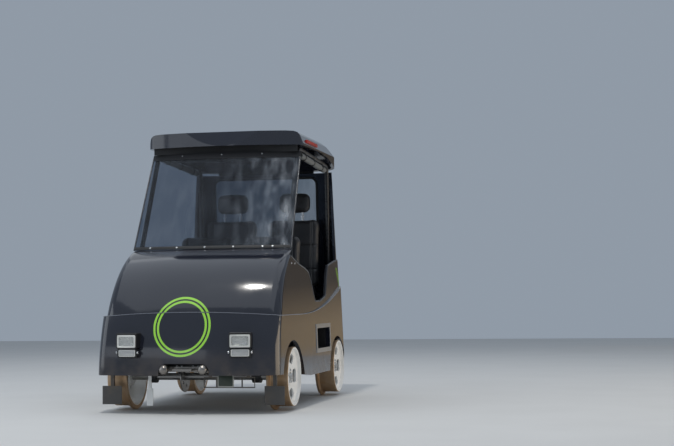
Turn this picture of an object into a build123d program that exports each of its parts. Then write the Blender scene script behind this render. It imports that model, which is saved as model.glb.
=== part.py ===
from build123d import *
import math
import os

# A small four seat rail car: steel chassis on two wheelsets, moulded body
# panels, open sides with a U shaped entry, windscreen, roof and two seat rows.
# Millimetres, +Z up. The front looks along -Y and the car's left is +X.
# z = 0 is the bottom of the wheel flanges, as it stands on a plain floor.

os.makedirs("parts", exist_ok=True)

# Wheels and track
TREAD_R = 206
FLANGE_DEPTH = 25
GAUGE = 1067
FLANGE_PLAY = 7
FLANGE_WIDTH = 26
TREAD_WIDTH = 123
RIM_WALL = 13
FLANGE_TIP = 6
FLANGE_TIP_R = 4
FLANGE_ROOT = 8
EDGE_BREAK = 3
DISC_INSET = 22
DISC_DISH = 24
DISC_WALL = 12
DISC_HOLES = 5
DISC_HOLE_LONG = 62
DISC_HOLE_WIDE = 96
DISC_HOLE_R = 20
HUB_R = 62
HUB_LENGTH = 70
HUB_BOSS = 12
CHAIN_X = 120
CHAIN_R = 95
CHAIN_WALL = 10
CHAIN_TEETH = 30
TOOTH_NOTCH = 8
CHAIN_HOLES_R = 60
CHAIN_HOLE = 14
BRAKE_X = -150
BRAKE_R = 110
BRAKE_WALL = 8
BRAKE_HOLES_R = 66
BRAKE_HOLE = 12
DISC_HOLE_COUNT = 5
BOX_R = 45
WHEELBASE = 1557
FRONT_AXLE_Y = -710
AXLE_R = 25
BEARING_PLAY = 0.05
REAR_AXLE_Y = FRONT_AXLE_Y + WHEELBASE
AXLE_Z = TREAD_R + FLANGE_DEPTH
flange_face_x = GAUGE / 2 - FLANGE_PLAY
wheel_inner_x = flange_face_x - FLANGE_WIDTH
wheel_outer_x = flange_face_x + TREAD_WIDTH

# Body plan: the front and the rear bow out about a far upright axis
FRONT_BOW_R = 2900
REAR_BOW_R = 3400
LOWER_FRONT_Y = -1221
LOWER_REAR_Y = 1221
LOWER_CORNER_R = 80
LOWER_WALL = 30
UPPER_WALL = 20
JOINT_GAP = 3
MIN_CORNER_R = 6
# A cutting solid reaches this far past the face that it cuts
PAST = 1
SPARE = 1.2
CAVITY_PAST_REAR = 60
front_axis_y = LOWER_FRONT_Y + FRONT_BOW_R
rear_axis_y = LOWER_REAR_Y - REAR_BOW_R

# Lower body, from the sill up to the crease
SILL_Z = 262
CREASE_Z = 662
CREASE_CROWN = 26
LOWER_MID_Z = 435
LOWER_MID_Y = -1208
LOWER_TOP_Y = -1151
LOWER_HALF = 645
LOWER_TOP_HALF = 635
LOWER_REAR_LEAN = 55
LEDGE = 12
SHELF = 72
FRONT_SEAM_Y = -1062
REAR_SEAM_Y = 1062
SIDE_SILL_Z = 211
# Bottom edge of the side between the wheel arches, in side view
SIDE_BOTTOM = ((-350, 226), (-166, SIDE_SILL_Z), (545, SIDE_SILL_Z), (700, SILL_Z))
# The crease of the sides runs level, then sweeps up towards the rear
SWEEP_START_Y = -387
SWEEP_R = 5300

# Upper body: the nose is one arc from the crease to the windscreen
NOSE_LOW_Y = -1098
NOSE_LOW_Z = 674
UPPER_CORNER_R = 80
NOSE_MID_Y = -888
NOSE_MID_Z = 976
NOSE_TOP_Y = -605
NOSE_TOP_Z = 1131
UPPER_HALF = 625
UPPER_TOP_HALF = 600
UPPER_REAR_Y = 1168
UPPER_REAR_LEAN = 30
# Rear edge of the bonnet on the sides, in side view
BONNET_EDGE = ((-985, 662), (-862, 940), (-625, 1083))
BONNET_FOOT_Y = -505
NOSE_END_Y = -430
NOSE_SECTIONS = (640, 760, 870, 970, 1050, 1105, 1131)
# Top edge of the side panel from the bonnet to the rear, in side view
SIDE_TOP = ((-625, 1083), (-362, 1022), (-178, 996), (-56, 968), (12, 896), (111, 752),
            (303, 752), (506, 790), (598, 955), (657, 1031), (938, 1073), (1062, 1084))
SIDE_REAR_Y = 1062
CAB_TOP_HALF = 574
PILLAR_LOW_Y = 985
PILLAR_HIGH_Y = 1000
WINDOW_HALF = 430
WINDOW_LOW_Z = 1180
WINDOW_HIGH_Z = 1760
WINDOW_CORNER_R = 60
PANE_WALL = 5
PANE_INSET = 6
TAIL_TOP_Z = 1800

# Windscreen and roof
SCREEN_TOP_Y = -198
SCREEN_TOP_Z = 1866
SCREEN_WALL = 6
HEADER_DEPTH = 45
HEADER_WALL = 3
SCREEN_HALF = 590
SCREEN_TOP_HALF = 572
ROOF_LIP_Y = -245
ROOF_LIP_Z = 1910
ROOF_TOP_Z = 2015
ROOF_FRONT_LEAN = 20
ROOF_HALF = 596
ROOF_WALL = 25
ROOF_BEND_Y = 470
ROOF_REAR_Y = 1112
ROOF_TOP_BEND_R = 1468
ROOF_LIP_BEND_R = 2031
ROOF_CORNER_R = 70
# Half section of the roof from the lip over the shoulder to the level top
ROOF_SHOULDER = ((596, 1925), (578, 1984), (562, 2003), (535, 2012), (480, 2015))

# Wheel arches: flat arcs that open out below the axle
ARCHES = ((-702, 338), (838, 325))
ARCH_Z = 145

# Chassis
CHASSIS_RAIL_X = 380
RAIL_WIDTH = 60
RAIL_LOW_Z = 288
RAIL_DEPTH = 70
TUBE_WALL = 4
CHASSIS_FRONT_Y = -1095
CHASSIS_REAR_Y = 1110
HEADSTOCK_WALL = 12
CROSS_WIDTH = 50
CROSS_MEMBERS_Y = (-480, 0, 480)
FLOOR_WALL = 12
FLOOR_HALF = 480
rail_top_z = RAIL_LOW_Z + RAIL_DEPTH
floor_z = rail_top_z + FLOOR_WALL

# Canopy frame: the centre line of the left hoop, from the front foot back
HOOP = ((455, -440, 362), (548, -500, 1080), (540, -69, 1895), (535, 980, 1850), (535, 1030, 900),
        (455, 1045, 362))
HOOP_TOP = 2
HOOP_R = 17
HOOP_BEND_R = 60
BOW_R = 14
ROOF_BOWS_Y = (-40, 440)
ROOF_PAD_X = 400
ROOF_PAD = 36

# Dashboard outline in side view
DASH_HALF = 545
DASH_SIDE = ((-500, 1118), (-410, 1118), (-395, 1100), (-410, 990), (-500, 960))

# Step recess in each side
STEP_FRONT_Y = 51
STEP_REAR_Y = 568
STEP_LOW_Z = 364
STEP_HIGH_Z = 580
STEP_FRAME = 32
STEP_DEPTH = 150
STEP_WALL = 3
STEP_CORNER_R = 14
STEP_PROUD = 4

# Seats, two rows: name, cushion front, cushion underside, plinth half width
# and rear, backrest height
SEAT_ROWS = (
    ("front", -250, 640, 430, 190, 590),
    ("rear", 455, 770, 430, 1000, 620),
)
SEAT_WIDTH = 480
SEAT_PITCH = 525
CUSHION_DEPTH = 430
CUSHION_THICK = 105
CUSHION_CORNER_R = 45
BACK_THICK = 80
BACK_TILT = 6
BACK_LIFT = 60
BACK_CORNER_R = 60
HEADREST_WIDTH = 270
HEADREST_HEIGHT = 165
HEADREST_THICK = 80
HEADREST_GAP = 30
HEADREST_CORNER_R = 50
POST_SIZE = 16
PLINTH_WALL = 15
SEAT_GAP = 0.3
ENGINE_Y = 760
ENGINE_SIZE = (440, 360, 320)

# Lamps: their place on the bowed face, then each block's width, low and high
# edge, and how far it stands off that place at its front and at its back
LAMP_X = 390
LAMP_FACE_Z = 490
HEADLAMP = (138, 451, 537, 64, 38)
LED_BAR = (124, 391, 438, 54, 38)
LAMP_HOUSINGS = ((152, 445, 551, 60, -30), (146, 385, 444, 50, -30))
TAIL_LAMP_X = 430
TAIL_LAMP_FACE_Z = 605
TAIL_LAMP = (120, 560, 650, 24, -30)
LAMP_CORNER_R = 9
LAMP_EDGE_R = 4
MARKER_Y = 168
MARKER_Z = 1950
MARKER_LENGTH = 350
MARKER_HEIGHT = 24
MARKER_REACH = 4

# Couplings
NOTCH_HALF = 178
NOTCH_TOP_Z = 342
NOTCH_CORNER_R = 60
BUFFER_X = 135
BUFFER_Z = 302
BUFFER_R = 34
BUFFER_REACH = 34
COUPLER_PIN_R = 11
COUPLER_PLATE = 12
COUPLER_REACH = 33
COUPLER_PIN_EDGE = 18
COUPLER_BEAM = 40
TONGUE_HALF = 67

# Wheel guards hang in front of the front wheels
GUARD_WIDTH = 140
GUARD_LOW_Z = 55
GUARD_HIGH_Z = 182
GUARD_WALL = 5
GUARD_Y = -1010
GUARD_ARM = 24
GUARD_ARM_LIFT = 40
# Underrun lattice and sensor bar hang below the front of the chassis
LATTICE_LEFT = 108
LATTICE_RIGHT = 465
LATTICE_LOW_Z = 174
LATTICE_HIGH_Z = 249
LATTICE_CELLS = 4
LATTICE_BAR = 8
LATTICE_Y = -1093
SENSOR_X = -277
SENSOR_WIDTH = 44
SENSOR_WALL = 10
SENSOR_LOW_Z = 53
SENSOR_HIGH_Z = 170
# Rolled side curtains
CURTAIN_R = 27
CURTAIN_START = 60
CURTAIN_LENGTH = 880


# Boxes that stand on their place
ON_TOP = (Align.CENTER, Align.CENTER, Align.MIN)
# Planes well outside the car, where cutting prisms begin and end
across = SPARE * max(LOWER_HALF, LOWER_TOP_HALF, UPPER_HALF, ROOF_HALF)
ahead = SPARE * LOWER_FRONT_Y
behind = SPARE * LOWER_REAR_Y
above = SPARE * ROOF_TOP_Z


def circle_through(p, q, r):
    """Centre and radius of the circle through three points."""
    (ax, ay), (bx, by), (cx, cy) = p, q, r
    d = 2 * (ax * (by - cy) + bx * (cy - ay) + cx * (ay - by))
    a2, b2, c2 = ax**2 + ay**2, bx**2 + by**2, cx**2 + cy**2
    x = (a2 * (by - cy) + b2 * (cy - ay) + c2 * (ay - by)) / d
    y = (a2 * (cx - bx) + b2 * (ax - cx) + c2 * (bx - ax)) / d
    return x, y, math.dist((x, y), p)


def finish(piece, label):
    """Name a finished piece and write its file."""
    piece.label = label
    export_step(piece, f"parts/{label}.step")


# Faces of the body: arc of the front in side view, rear line, half widths
LOWER = {
    "front": circle_through((LOWER_FRONT_Y, SILL_Z), (LOWER_MID_Y, LOWER_MID_Z), (LOWER_TOP_Y, CREASE_Z)),
    "rear": ((LOWER_REAR_Y, SILL_Z), (LOWER_REAR_Y - LOWER_REAR_LEAN, CREASE_Z + 240)),
    "half": ((LOWER_HALF, SILL_Z), (LOWER_TOP_HALF, CREASE_Z)),
    "corner": LOWER_CORNER_R,
}
UPPER = {
    "front": circle_through((NOSE_LOW_Y, NOSE_LOW_Z), (NOSE_MID_Y, NOSE_MID_Z), (NOSE_TOP_Y, NOSE_TOP_Z)),
    "rear": ((UPPER_REAR_Y, NOSE_LOW_Z), (UPPER_REAR_Y - UPPER_REAR_LEAN, NOSE_TOP_Z)),
    "half": ((UPPER_HALF, NOSE_LOW_Z), (UPPER_TOP_HALF, NOSE_TOP_Z)),
    "corner": UPPER_CORNER_R,
}


def on_line(line, z):
    """Value at the height z on a line given by two (value, height) pairs."""
    (a, low), (b, high) = line
    return a + (b - a) * (z - low) / (high - low)


def front_y(tier, z, inset=0):
    """Middle of the front face at the height z, in side view."""
    y, centre_z, radius = tier["front"]
    return y - math.sqrt((radius - inset) ** 2 - (z - centre_z) ** 2)


def tier_solid(tier, low, high, inset=0):
    """Solid of a body tier: bowed ends, leaning sides and round corners."""
    middle = (low + high) / 2
    with BuildPart() as solid:
        with BuildSketch(Plane.YZ):
            with BuildLine():
                ThreePointArc(*((front_y(tier, z, inset), z) for z in (low, middle, high)))
                Polyline((front_y(tier, high, inset), high), (front_axis_y, high),
                         (front_axis_y, low), (front_y(tier, low, inset), low))
            make_face()
        revolve(axis=Axis((0, front_axis_y, 0), (0, 0, 1)))
        with BuildSketch(Plane.YZ):
            with BuildLine():
                Polyline((rear_axis_y, low), (on_line(tier["rear"], low) - inset, low),
                         (on_line(tier["rear"], high) - inset, high), (rear_axis_y, high), close=True)
            make_face()
        revolve(axis=Axis((0, rear_axis_y, 0), (0, 0, 1)), mode=Mode.INTERSECT)
        with BuildSketch(Plane.XZ):
            with BuildLine():
                wide, narrow = (on_line(tier["half"], z) - inset for z in (low, high))
                Polyline((-wide, low), (wide, low), (narrow, high), (-narrow, high), close=True)
            make_face()
        extrude(amount=2 * behind, both=True, mode=Mode.INTERSECT)
        upright = [edge for edge in solid.edges() if abs((edge @ 1 - edge @ 0).Z) > (high - low) / 2]
        fillet(upright, max(tier["corner"] - inset, MIN_CORNER_R))
    return solid.part


def crease_z(y):
    """Height of the crease on the sides."""
    if y < SWEEP_START_Y:
        return CREASE_Z
    return CREASE_Z + SWEEP_R - math.sqrt(SWEEP_R**2 - (y - SWEEP_START_Y) ** 2)


def region(plane, outline, reach):
    """Prism of a closed outline, given as (u, v) points, from a plane."""
    with BuildPart() as prism:
        with BuildSketch(plane):
            with BuildLine():
                Polyline(*outline, close=True)
            make_face()
        extrude(amount=reach)
    return prism.part


def crease_prism(low=0, drop=0):
    """All below the crease of the sides, right across the car."""
    with BuildPart() as prism:
        with BuildSketch(Plane.YZ.offset(-across)):
            with BuildLine():
                start = (SWEEP_START_Y, CREASE_Z - drop)
                end = (behind, crease_z(behind) - drop)
                bend = (behind / 2, crease_z(behind / 2) - drop)
                ThreePointArc(start, bend, end)
                Polyline(end, (behind, low), (ahead, low), (ahead, CREASE_Z - drop), start)
            make_face()
        extrude(amount=2 * across)
    return prism.part


def crown_prism(low, drop=0):
    """All below the crowned crease of the front, from a height upwards."""
    fall = CREASE_CROWN * (across / LOWER_TOP_HALF) ** 2
    top = CREASE_Z + CREASE_CROWN - drop
    with BuildPart() as prism:
        with BuildSketch(Plane.XZ.offset(-FRONT_SEAM_Y)):
            with BuildLine():
                ThreePointArc((-across, top - fall), (0, top), (across, top - fall))
                Polyline((across, top - fall), (across, low), (-across, low), (-across, top - fall))
            make_face()
        extrude(amount=LOWER_HALF)
    return prism.part


def wall(tier, low, high, thickness):
    """Upright wall all round a body tier, open above and below."""
    return tier_solid(tier, low, high) - tier_solid(tier, low - PAST, high, thickness)


def mirrored(piece):
    """The same piece on the other side of the car."""
    return mirror(piece, about=Plane.YZ)


# Lower body: one wall all round, split into a front, two sides and a rear
lower_high = crease_z(LOWER_REAR_Y) + LOWER_WALL
lower_wall = wall(LOWER, SIDE_SILL_Z, lower_high, LOWER_WALL)
arch_holes = [Plane.YZ.offset(-across) * Pos(y, ARCH_Z) * extrude(Circle(r), 2 * across) for y, r in ARCHES]
side_region = region(Plane.YZ, [(FRONT_SEAM_Y + JOINT_GAP, SILL_Z), *SIDE_BOTTOM, (REAR_SEAM_Y, SILL_Z),
                                (REAR_SEAM_Y, above), (FRONT_SEAM_Y + JOINT_GAP, above)], across)

with BuildPart() as lower_front_panel:
    add(lower_wall)
    add(crown_prism(SILL_Z), mode=Mode.INTERSECT)
    shelf = wall(LOWER, SIDE_SILL_Z, lower_high, SHELF)
    add(shelf & (crown_prism(SILL_Z) - crown_prism(SILL_Z - PAST, LEDGE)))
    with BuildSketch(Plane.XZ.offset(-LOWER_FRONT_Y)):
        with Locations((0, SILL_Z)):
            RectangleRounded(2 * NOTCH_HALF, 2 * (NOTCH_TOP_Z - SILL_Z), NOTCH_CORNER_R)
    extrude(amount=4 * LOWER_WALL, both=True, mode=Mode.SUBTRACT)
finish(lower_front_panel.part, "lower_front_panel")

with BuildPart() as lower_side:
    add(lower_wall)
    add(crease_prism(), mode=Mode.INTERSECT)
    add(side_region, mode=Mode.INTERSECT)
    add(arch_holes, mode=Mode.SUBTRACT)
    with BuildSketch(Plane.YZ) as step_hole:
        with Locations(((STEP_FRONT_Y + STEP_REAR_Y) / 2, (STEP_LOW_Z + STEP_HIGH_Z) / 2)):
            RectangleRounded(STEP_REAR_Y - STEP_FRONT_Y - 2 * STEP_FRAME,
                             STEP_HIGH_Z - STEP_LOW_Z - 2 * STEP_FRAME, STEP_CORNER_R)
    extrude(amount=LOWER_HALF + LOWER_WALL, mode=Mode.SUBTRACT)
finish(lower_side.part, "lower_side_left")
finish(mirrored(lower_side.part), "lower_side_right")

with BuildPart() as lower_rear_panel:
    add(lower_wall)
    add(crease_prism(SILL_Z), mode=Mode.INTERSECT)
    with Locations((0, REAR_SEAM_Y + JOINT_GAP, 0)):
        Box(2 * across, behind, 2 * above, align=(Align.CENTER, Align.MIN, Align.CENTER), mode=Mode.INTERSECT)
    add(arch_holes, mode=Mode.SUBTRACT)
    with BuildSketch(Plane.XZ.offset(-LOWER_REAR_Y)):
        with Locations((0, SILL_Z)):
            RectangleRounded(2 * NOTCH_HALF, 2 * (NOTCH_TOP_Z - SILL_Z), NOTCH_CORNER_R)
    extrude(amount=4 * LOWER_WALL, both=True, mode=Mode.SUBTRACT)
finish(lower_rear_panel.part, "lower_rear_panel")

# Upper body: bonnet and nose, side panels with the entry, tail
def corner(half, bow_r, corner_r):
    """Start, middle and end of a round plan corner, as x and depth from the bowed face."""
    centre = Vector(half - corner_r, bow_r - math.sqrt((bow_r - corner_r) ** 2 - (half - corner_r) ** 2))
    outward = (centre - Vector(0, bow_r)).normalized()
    middle = centre + (outward + Vector(1, 0)).normalized() * corner_r
    end = Vector(0, bow_r) + outward * bow_r
    return [(half, centre.Y), (middle.X, middle.Y), (end.X, end.Y)]


def plan_face(z, half, corner_r, front, rear):
    """Level outline with bowed ends, each given as (y, bow radius), or a flat rear."""
    (front_mid, front_r), (rear_mid, rear_r) = front, rear
    ahead = [(x, front_mid + depth) for x, depth in corner(half, front_r, corner_r)]
    if rear_r:
        astern = [(x, rear_mid - depth) for x, depth in corner(half, rear_r, corner_r)]
    else:
        astern = [(half, rear_mid)]
    with BuildSketch(Plane.XY.offset(z)) as level:
        with BuildLine():
            for side in (1, -1):
                Line((side * half, astern[0][1]), (side * half, ahead[0][1]))
                ThreePointArc(*((side * x, y) for x, y in ahead))
                if rear_r:
                    ThreePointArc(*((side * x, y) for x, y in astern))
            (x, y) = ahead[-1]
            ThreePointArc((x, y), (0, front_mid), (-x, y))
            (x, y) = astern[-1]
            if rear_r:
                ThreePointArc((x, y), (0, rear_mid), (-x, y))
            else:
                Line((x, y), (-x, y))
        make_face()
    return level.sketch


def nose_solid(inset=0):
    """Solid of the nose: a loft through level sections with round corners.

    With an inset it is the cavity, lofted straight and a little past the ends.
    """
    past, past_rear = (PAST, CAVITY_PAST_REAR) if inset else (0, 0)
    low, *between, high = NOSE_SECTIONS
    with BuildPart() as solid:
        for z in (low - past, *between, high + past):
            face_y = front_y(UPPER, z, inset)
            add(plan_face(z, on_line(UPPER["half"], z) - inset, UPPER_CORNER_R - inset,
                          (face_y, front_axis_y - face_y), (NOSE_END_Y + past_rear, 0)))
        loft(ruled=inset > 0)
    return solid.part


def side_slab(outline, outer, thickness):
    """Leaning side wall on the left: an outline of (y, z) points, cut from a slab."""
    (low_x, low), (high_x, high) = outer
    with BuildPart() as slab:
        with BuildSketch(Plane.XZ.offset(-ahead)):
            with BuildLine():
                Polyline((low_x, low), (high_x, high), (high_x - thickness, high),
                         (low_x - thickness, low), close=True)
            make_face()
        extrude(amount=ahead - behind)
        add(region(Plane.YZ, outline, across), mode=Mode.INTERSECT)
    return slab.part


def behind_bonnet(gap=0):
    """Everything behind the rear edge of the bonnet, right across the car."""
    (low_y, low), _, (high_y, high) = BONNET_EDGE
    with BuildPart() as prism:
        with BuildSketch(Plane.YZ.offset(-across)):
            with BuildLine():
                ThreePointArc(*((y + gap, z) for y, z in BONNET_EDGE))
                Polyline((high_y + gap, high), (BONNET_FOOT_Y + gap, NOSE_TOP_Z + PAST),
                         (behind, NOSE_TOP_Z + PAST), (behind, 0), (low_y + gap, 0), (low_y + gap, low))
            make_face()
        extrude(amount=2 * across)
    return prism.part


nose_wall = nose_solid() - nose_solid(UPPER_WALL)
with BuildPart() as bonnet:
    add(nose_wall)
    add(behind_bonnet(), mode=Mode.SUBTRACT)
    add(crown_prism(0), mode=Mode.SUBTRACT)
    add(crease_prism(), mode=Mode.SUBTRACT)
finish(bonnet.part, "bonnet")

side_line = [(on_line(UPPER["half"], z), z) for z in (CREASE_Z, NOSE_TOP_Z)]
side_outline = [(BONNET_EDGE[0][0], CREASE_Z), (BONNET_EDGE[0][0], SIDE_TOP[0][1]), *SIDE_TOP,
                (SIDE_REAR_Y, CREASE_Z)]
with BuildPart() as side_panel:
    add(nose_wall)
    add(side_slab([(NOSE_END_Y, CREASE_Z), (NOSE_END_Y, NOSE_TOP_Z), (SIDE_REAR_Y, NOSE_TOP_Z),
                   (SIDE_REAR_Y, CREASE_Z)], side_line, UPPER_WALL))
    add(region(Plane.YZ, side_outline, across), mode=Mode.INTERSECT)
    add(behind_bonnet(JOINT_GAP), mode=Mode.INTERSECT)
    add(crease_prism(), mode=Mode.SUBTRACT)
finish(side_panel.part, "side_panel_left")
finish(mirrored(side_panel.part), "side_panel_right")
# Tail: the rear wall with its window, from the crease to the roof
CAB = {
    "front": UPPER["front"],
    "rear": UPPER["rear"],
    "half": ((UPPER_TOP_HALF, NOSE_TOP_Z), (CAB_TOP_HALF, ROOF_LIP_Z)),
    "corner": UPPER_CORNER_R,
}


def cab_solid(low, high, inset):
    """Solid of the cab above the nose, for the rear wall and its window."""
    rear_low = on_line(CAB["rear"], low) - inset
    rear_high = on_line(CAB["rear"], high) - inset
    with BuildPart() as solid:
        with BuildSketch(Plane.YZ):
            with BuildLine():
                Polyline((rear_axis_y, low), (rear_low, low), (rear_high, high), (rear_axis_y, high),
                         close=True)
            make_face()
        revolve(axis=Axis((0, rear_axis_y, 0), (0, 0, 1)))
        with BuildSketch(Plane.XZ):
            with BuildLine():
                wide, narrow = (on_line(CAB["half"], z) - inset for z in (low, high))
                Polyline((-wide, low), (wide, low), (narrow, high), (-narrow, high), close=True)
            make_face()
        extrude(amount=2 * LOWER_REAR_Y, both=True, mode=Mode.INTERSECT)
        split(bisect_by=Plane.XZ, keep=Keep.BOTTOM)
        upright = [e for e in solid.edges() if abs((e @ 1 - e @ 0).Z) > (high - low) / 2 and (e @ 0).Y > 500]
        fillet(upright, max(UPPER_CORNER_R - inset, MIN_CORNER_R))
    return solid.part


cab_low = CREASE_Z
cab_wall = cab_solid(cab_low, ROOF_LIP_Z, 0) - cab_solid(cab_low - PAST, ROOF_LIP_Z, UPPER_WALL)
with BuildPart() as tail_panel:
    add(cab_wall)
    add(region(Plane.YZ.offset(-across), [
        (SIDE_REAR_Y + JOINT_GAP, CREASE_Z), (SIDE_REAR_Y + JOINT_GAP, SIDE_TOP[-1][1] + JOINT_GAP),
        (PILLAR_LOW_Y, SIDE_TOP[-1][1] + JOINT_GAP),
        (PILLAR_HIGH_Y, TAIL_TOP_Z), (behind, TAIL_TOP_Z), (behind, CREASE_Z)], 2 * across),
        mode=Mode.INTERSECT)
    add(crease_prism(), mode=Mode.SUBTRACT)
    with BuildSketch(Plane.XZ.offset(-LOWER_REAR_Y)) as window_hole:
        with Locations((0, (WINDOW_LOW_Z + WINDOW_HIGH_Z) / 2)):
            RectangleRounded(2 * WINDOW_HALF, WINDOW_HIGH_Z - WINDOW_LOW_Z, WINDOW_CORNER_R)
    extrude(amount=LOWER_REAR_Y / 2, mode=Mode.SUBTRACT)
finish(tail_panel.part, "tail_panel")

with BuildPart() as rear_window:
    add(cab_solid(cab_low, ROOF_LIP_Z, PANE_INSET))
    add(cab_solid(cab_low - PAST, ROOF_LIP_Z, PANE_INSET + PANE_WALL), mode=Mode.SUBTRACT)
    with BuildSketch(Plane.XZ.offset(-LOWER_REAR_Y)):
        with Locations((0, (WINDOW_LOW_Z + WINDOW_HIGH_Z) / 2)):
            RectangleRounded(2 * WINDOW_HALF, WINDOW_HIGH_Z - WINDOW_LOW_Z, WINDOW_CORNER_R)
    extrude(amount=LOWER_REAR_Y / 2, mode=Mode.INTERSECT)
finish(rear_window.part, "rear_window")

# Windscreen: one sheet bent about the same upright axis as the nose
screen_halves = ((SCREEN_HALF, NOSE_TOP_Z), (SCREEN_TOP_HALF, SCREEN_TOP_Z))


def screen_band(low, high, front, thickness, trim=0):
    """Band of the windscreen's cone, from a height to a height, at an offset."""
    slope = ((NOSE_TOP_Y, NOSE_TOP_Z), (SCREEN_TOP_Y, SCREEN_TOP_Z))
    with BuildPart() as band:
        with BuildSketch(Plane.YZ):
            with BuildLine():
                face = [(on_line(slope, z) + front, z) for z in (low, high)]
                back = [(y + thickness, z) for y, z in reversed(face)]
                Polyline(*face, *back, close=True)
            make_face()
        revolve(axis=Axis((0, front_axis_y, 0), (0, 0, 1)))
        with BuildSketch(Plane.XZ):
            with BuildLine():
                wide, narrow = (on_line(screen_halves, z) - trim for z in (low, high))
                Polyline((-wide, low), (wide, low), (narrow, high), (-narrow, high), close=True)
            make_face()
        extrude(amount=2 * LOWER_REAR_Y, mode=Mode.INTERSECT)
    return band.part


windscreen = screen_band(NOSE_TOP_Z, SCREEN_TOP_Z, 0, SCREEN_WALL)
finish(windscreen, "windscreen")
finish(screen_band(SCREEN_TOP_Z - HEADER_DEPTH, SCREEN_TOP_Z, -HEADER_WALL, HEADER_WALL), "header_strip")


def roof_solid(inset, low_drop):
    """Roof block: side outline with a falling tail, bowed ends, leaning sides."""
    front = ROOF_LIP_Y + inset
    rear = ROOF_REAR_Y - inset
    top = ROOF_TOP_Z - inset
    low = ROOF_LIP_Z - low_drop
    top_fall = (rear - ROOF_BEND_Y) ** 2 / 2 / ROOF_TOP_BEND_R
    low_fall = (rear - ROOF_BEND_Y) ** 2 / 2 / ROOF_LIP_BEND_R
    half_y = (rear + ROOF_BEND_Y) / 2
    with BuildPart() as solid:
        with BuildSketch(Plane.YZ.offset(-ROOF_HALF)):
            with BuildLine():
                Polyline((ROOF_BEND_Y, low), (front - ROOF_FRONT_LEAN, low), (front, top), (ROOF_BEND_Y, top))
                ThreePointArc((ROOF_BEND_Y, top), (half_y, top - top_fall / 4), (rear, top - top_fall))
                Line((rear, top - top_fall), (rear, low - low_fall))
                ThreePointArc((rear, low - low_fall), (half_y, low - low_fall / 4), (ROOF_BEND_Y, low))
            make_face()
        extrude(amount=2 * ROOF_HALF)
        with BuildSketch(Plane.XZ.offset(-behind)):
            with BuildLine():
                outer = [(ROOF_HALF - inset, 0)] + [(x - inset, z - inset) for x, z in ROOF_SHOULDER]
                Polyline(*outer, *((-x, z) for x, z in reversed(outer)), close=True)
            make_face()
        extrude(amount=behind - ahead, mode=Mode.INTERSECT)
        lowest = low - low_fall
        face_y = front - ROOF_FRONT_LEAN
        add(plan_face(lowest, ROOF_HALF - inset, ROOF_CORNER_R - inset,
                      (face_y, front_axis_y - face_y), (rear, REAR_BOW_R)))
        extrude(amount=ROOF_TOP_Z - lowest, mode=Mode.INTERSECT)
    return solid.part


with BuildPart() as roof:
    add(roof_solid(0, 0))
    add(roof_solid(ROOF_WALL, PAST), mode=Mode.SUBTRACT)
finish(roof.part, "roof")

# Running gear: two wheelsets, each an axle with two flanged wheels with dished discs
rim_inner_r = TREAD_R - RIM_WALL
hub_x = wheel_outer_x - DISC_INSET - DISC_DISH
with BuildPart() as wheel:
    with BuildSketch(Plane.XZ) as rim:
        with BuildLine():
            Polyline((wheel_inner_x, rim_inner_r), (wheel_inner_x, AXLE_Z - FLANGE_TIP_R),
                     (wheel_inner_x + FLANGE_TIP, AXLE_Z), (flange_face_x - FLANGE_ROOT, AXLE_Z),
                     (flange_face_x, TREAD_R + EDGE_BREAK), (flange_face_x + EDGE_BREAK, TREAD_R),
                     (wheel_outer_x - EDGE_BREAK, TREAD_R), (wheel_outer_x, TREAD_R - EDGE_BREAK),
                     (wheel_outer_x, rim_inner_r), close=True)
        make_face()
        with BuildLine():
            disc_x = wheel_outer_x - DISC_INSET
            Polyline((disc_x, rim_inner_r + EDGE_BREAK), (disc_x - DISC_WALL, rim_inner_r + EDGE_BREAK),
                     (hub_x - DISC_WALL, HUB_R - EDGE_BREAK), (hub_x, HUB_R - EDGE_BREAK), close=True)
        make_face()
    revolve(axis=Axis.X)
    with BuildSketch(Plane.YZ.offset(hub_x - DISC_WALL)):
        with PolarLocations((rim_inner_r + HUB_R) / 2, DISC_HOLES):
            RectangleRounded(DISC_HOLE_LONG, DISC_HOLE_WIDE, DISC_HOLE_R)
    extrude(amount=wheel_outer_x - hub_x + DISC_WALL, mode=Mode.SUBTRACT)
    with BuildSketch(Plane.YZ.offset(hub_x - HUB_LENGTH)):
        Circle(HUB_R)
    extrude(amount=HUB_LENGTH + HUB_BOSS)
    with BuildSketch(Plane.YZ.offset(hub_x - HUB_LENGTH)):
        Circle(AXLE_R)
    extrude(amount=HUB_LENGTH, mode=Mode.SUBTRACT)

with BuildPart() as axle:
    with BuildSketch(Plane.YZ.offset(-hub_x)):
        Circle(AXLE_R)
    extrude(amount=2 * hub_x)

with BuildPart() as chain_wheel:
    with BuildSketch(Plane.YZ.offset(CHAIN_X)):
        Circle(CHAIN_R)
        with PolarLocations(CHAIN_R, CHAIN_TEETH):
            RegularPolygon(TOOTH_NOTCH, 4, mode=Mode.SUBTRACT)
        with PolarLocations(CHAIN_HOLES_R, DISC_HOLE_COUNT):
            Circle(CHAIN_HOLE, mode=Mode.SUBTRACT)
        Circle(AXLE_R, mode=Mode.SUBTRACT)
    extrude(amount=CHAIN_WALL)

with BuildPart() as brake_disc:
    with BuildSketch(Plane.YZ.offset(BRAKE_X)):
        Circle(BRAKE_R)
        with PolarLocations(BRAKE_HOLES_R, DISC_HOLE_COUNT):
            Circle(BRAKE_HOLE, mode=Mode.SUBTRACT)
        Circle(AXLE_R, mode=Mode.SUBTRACT)
    extrude(amount=BRAKE_WALL)

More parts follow.
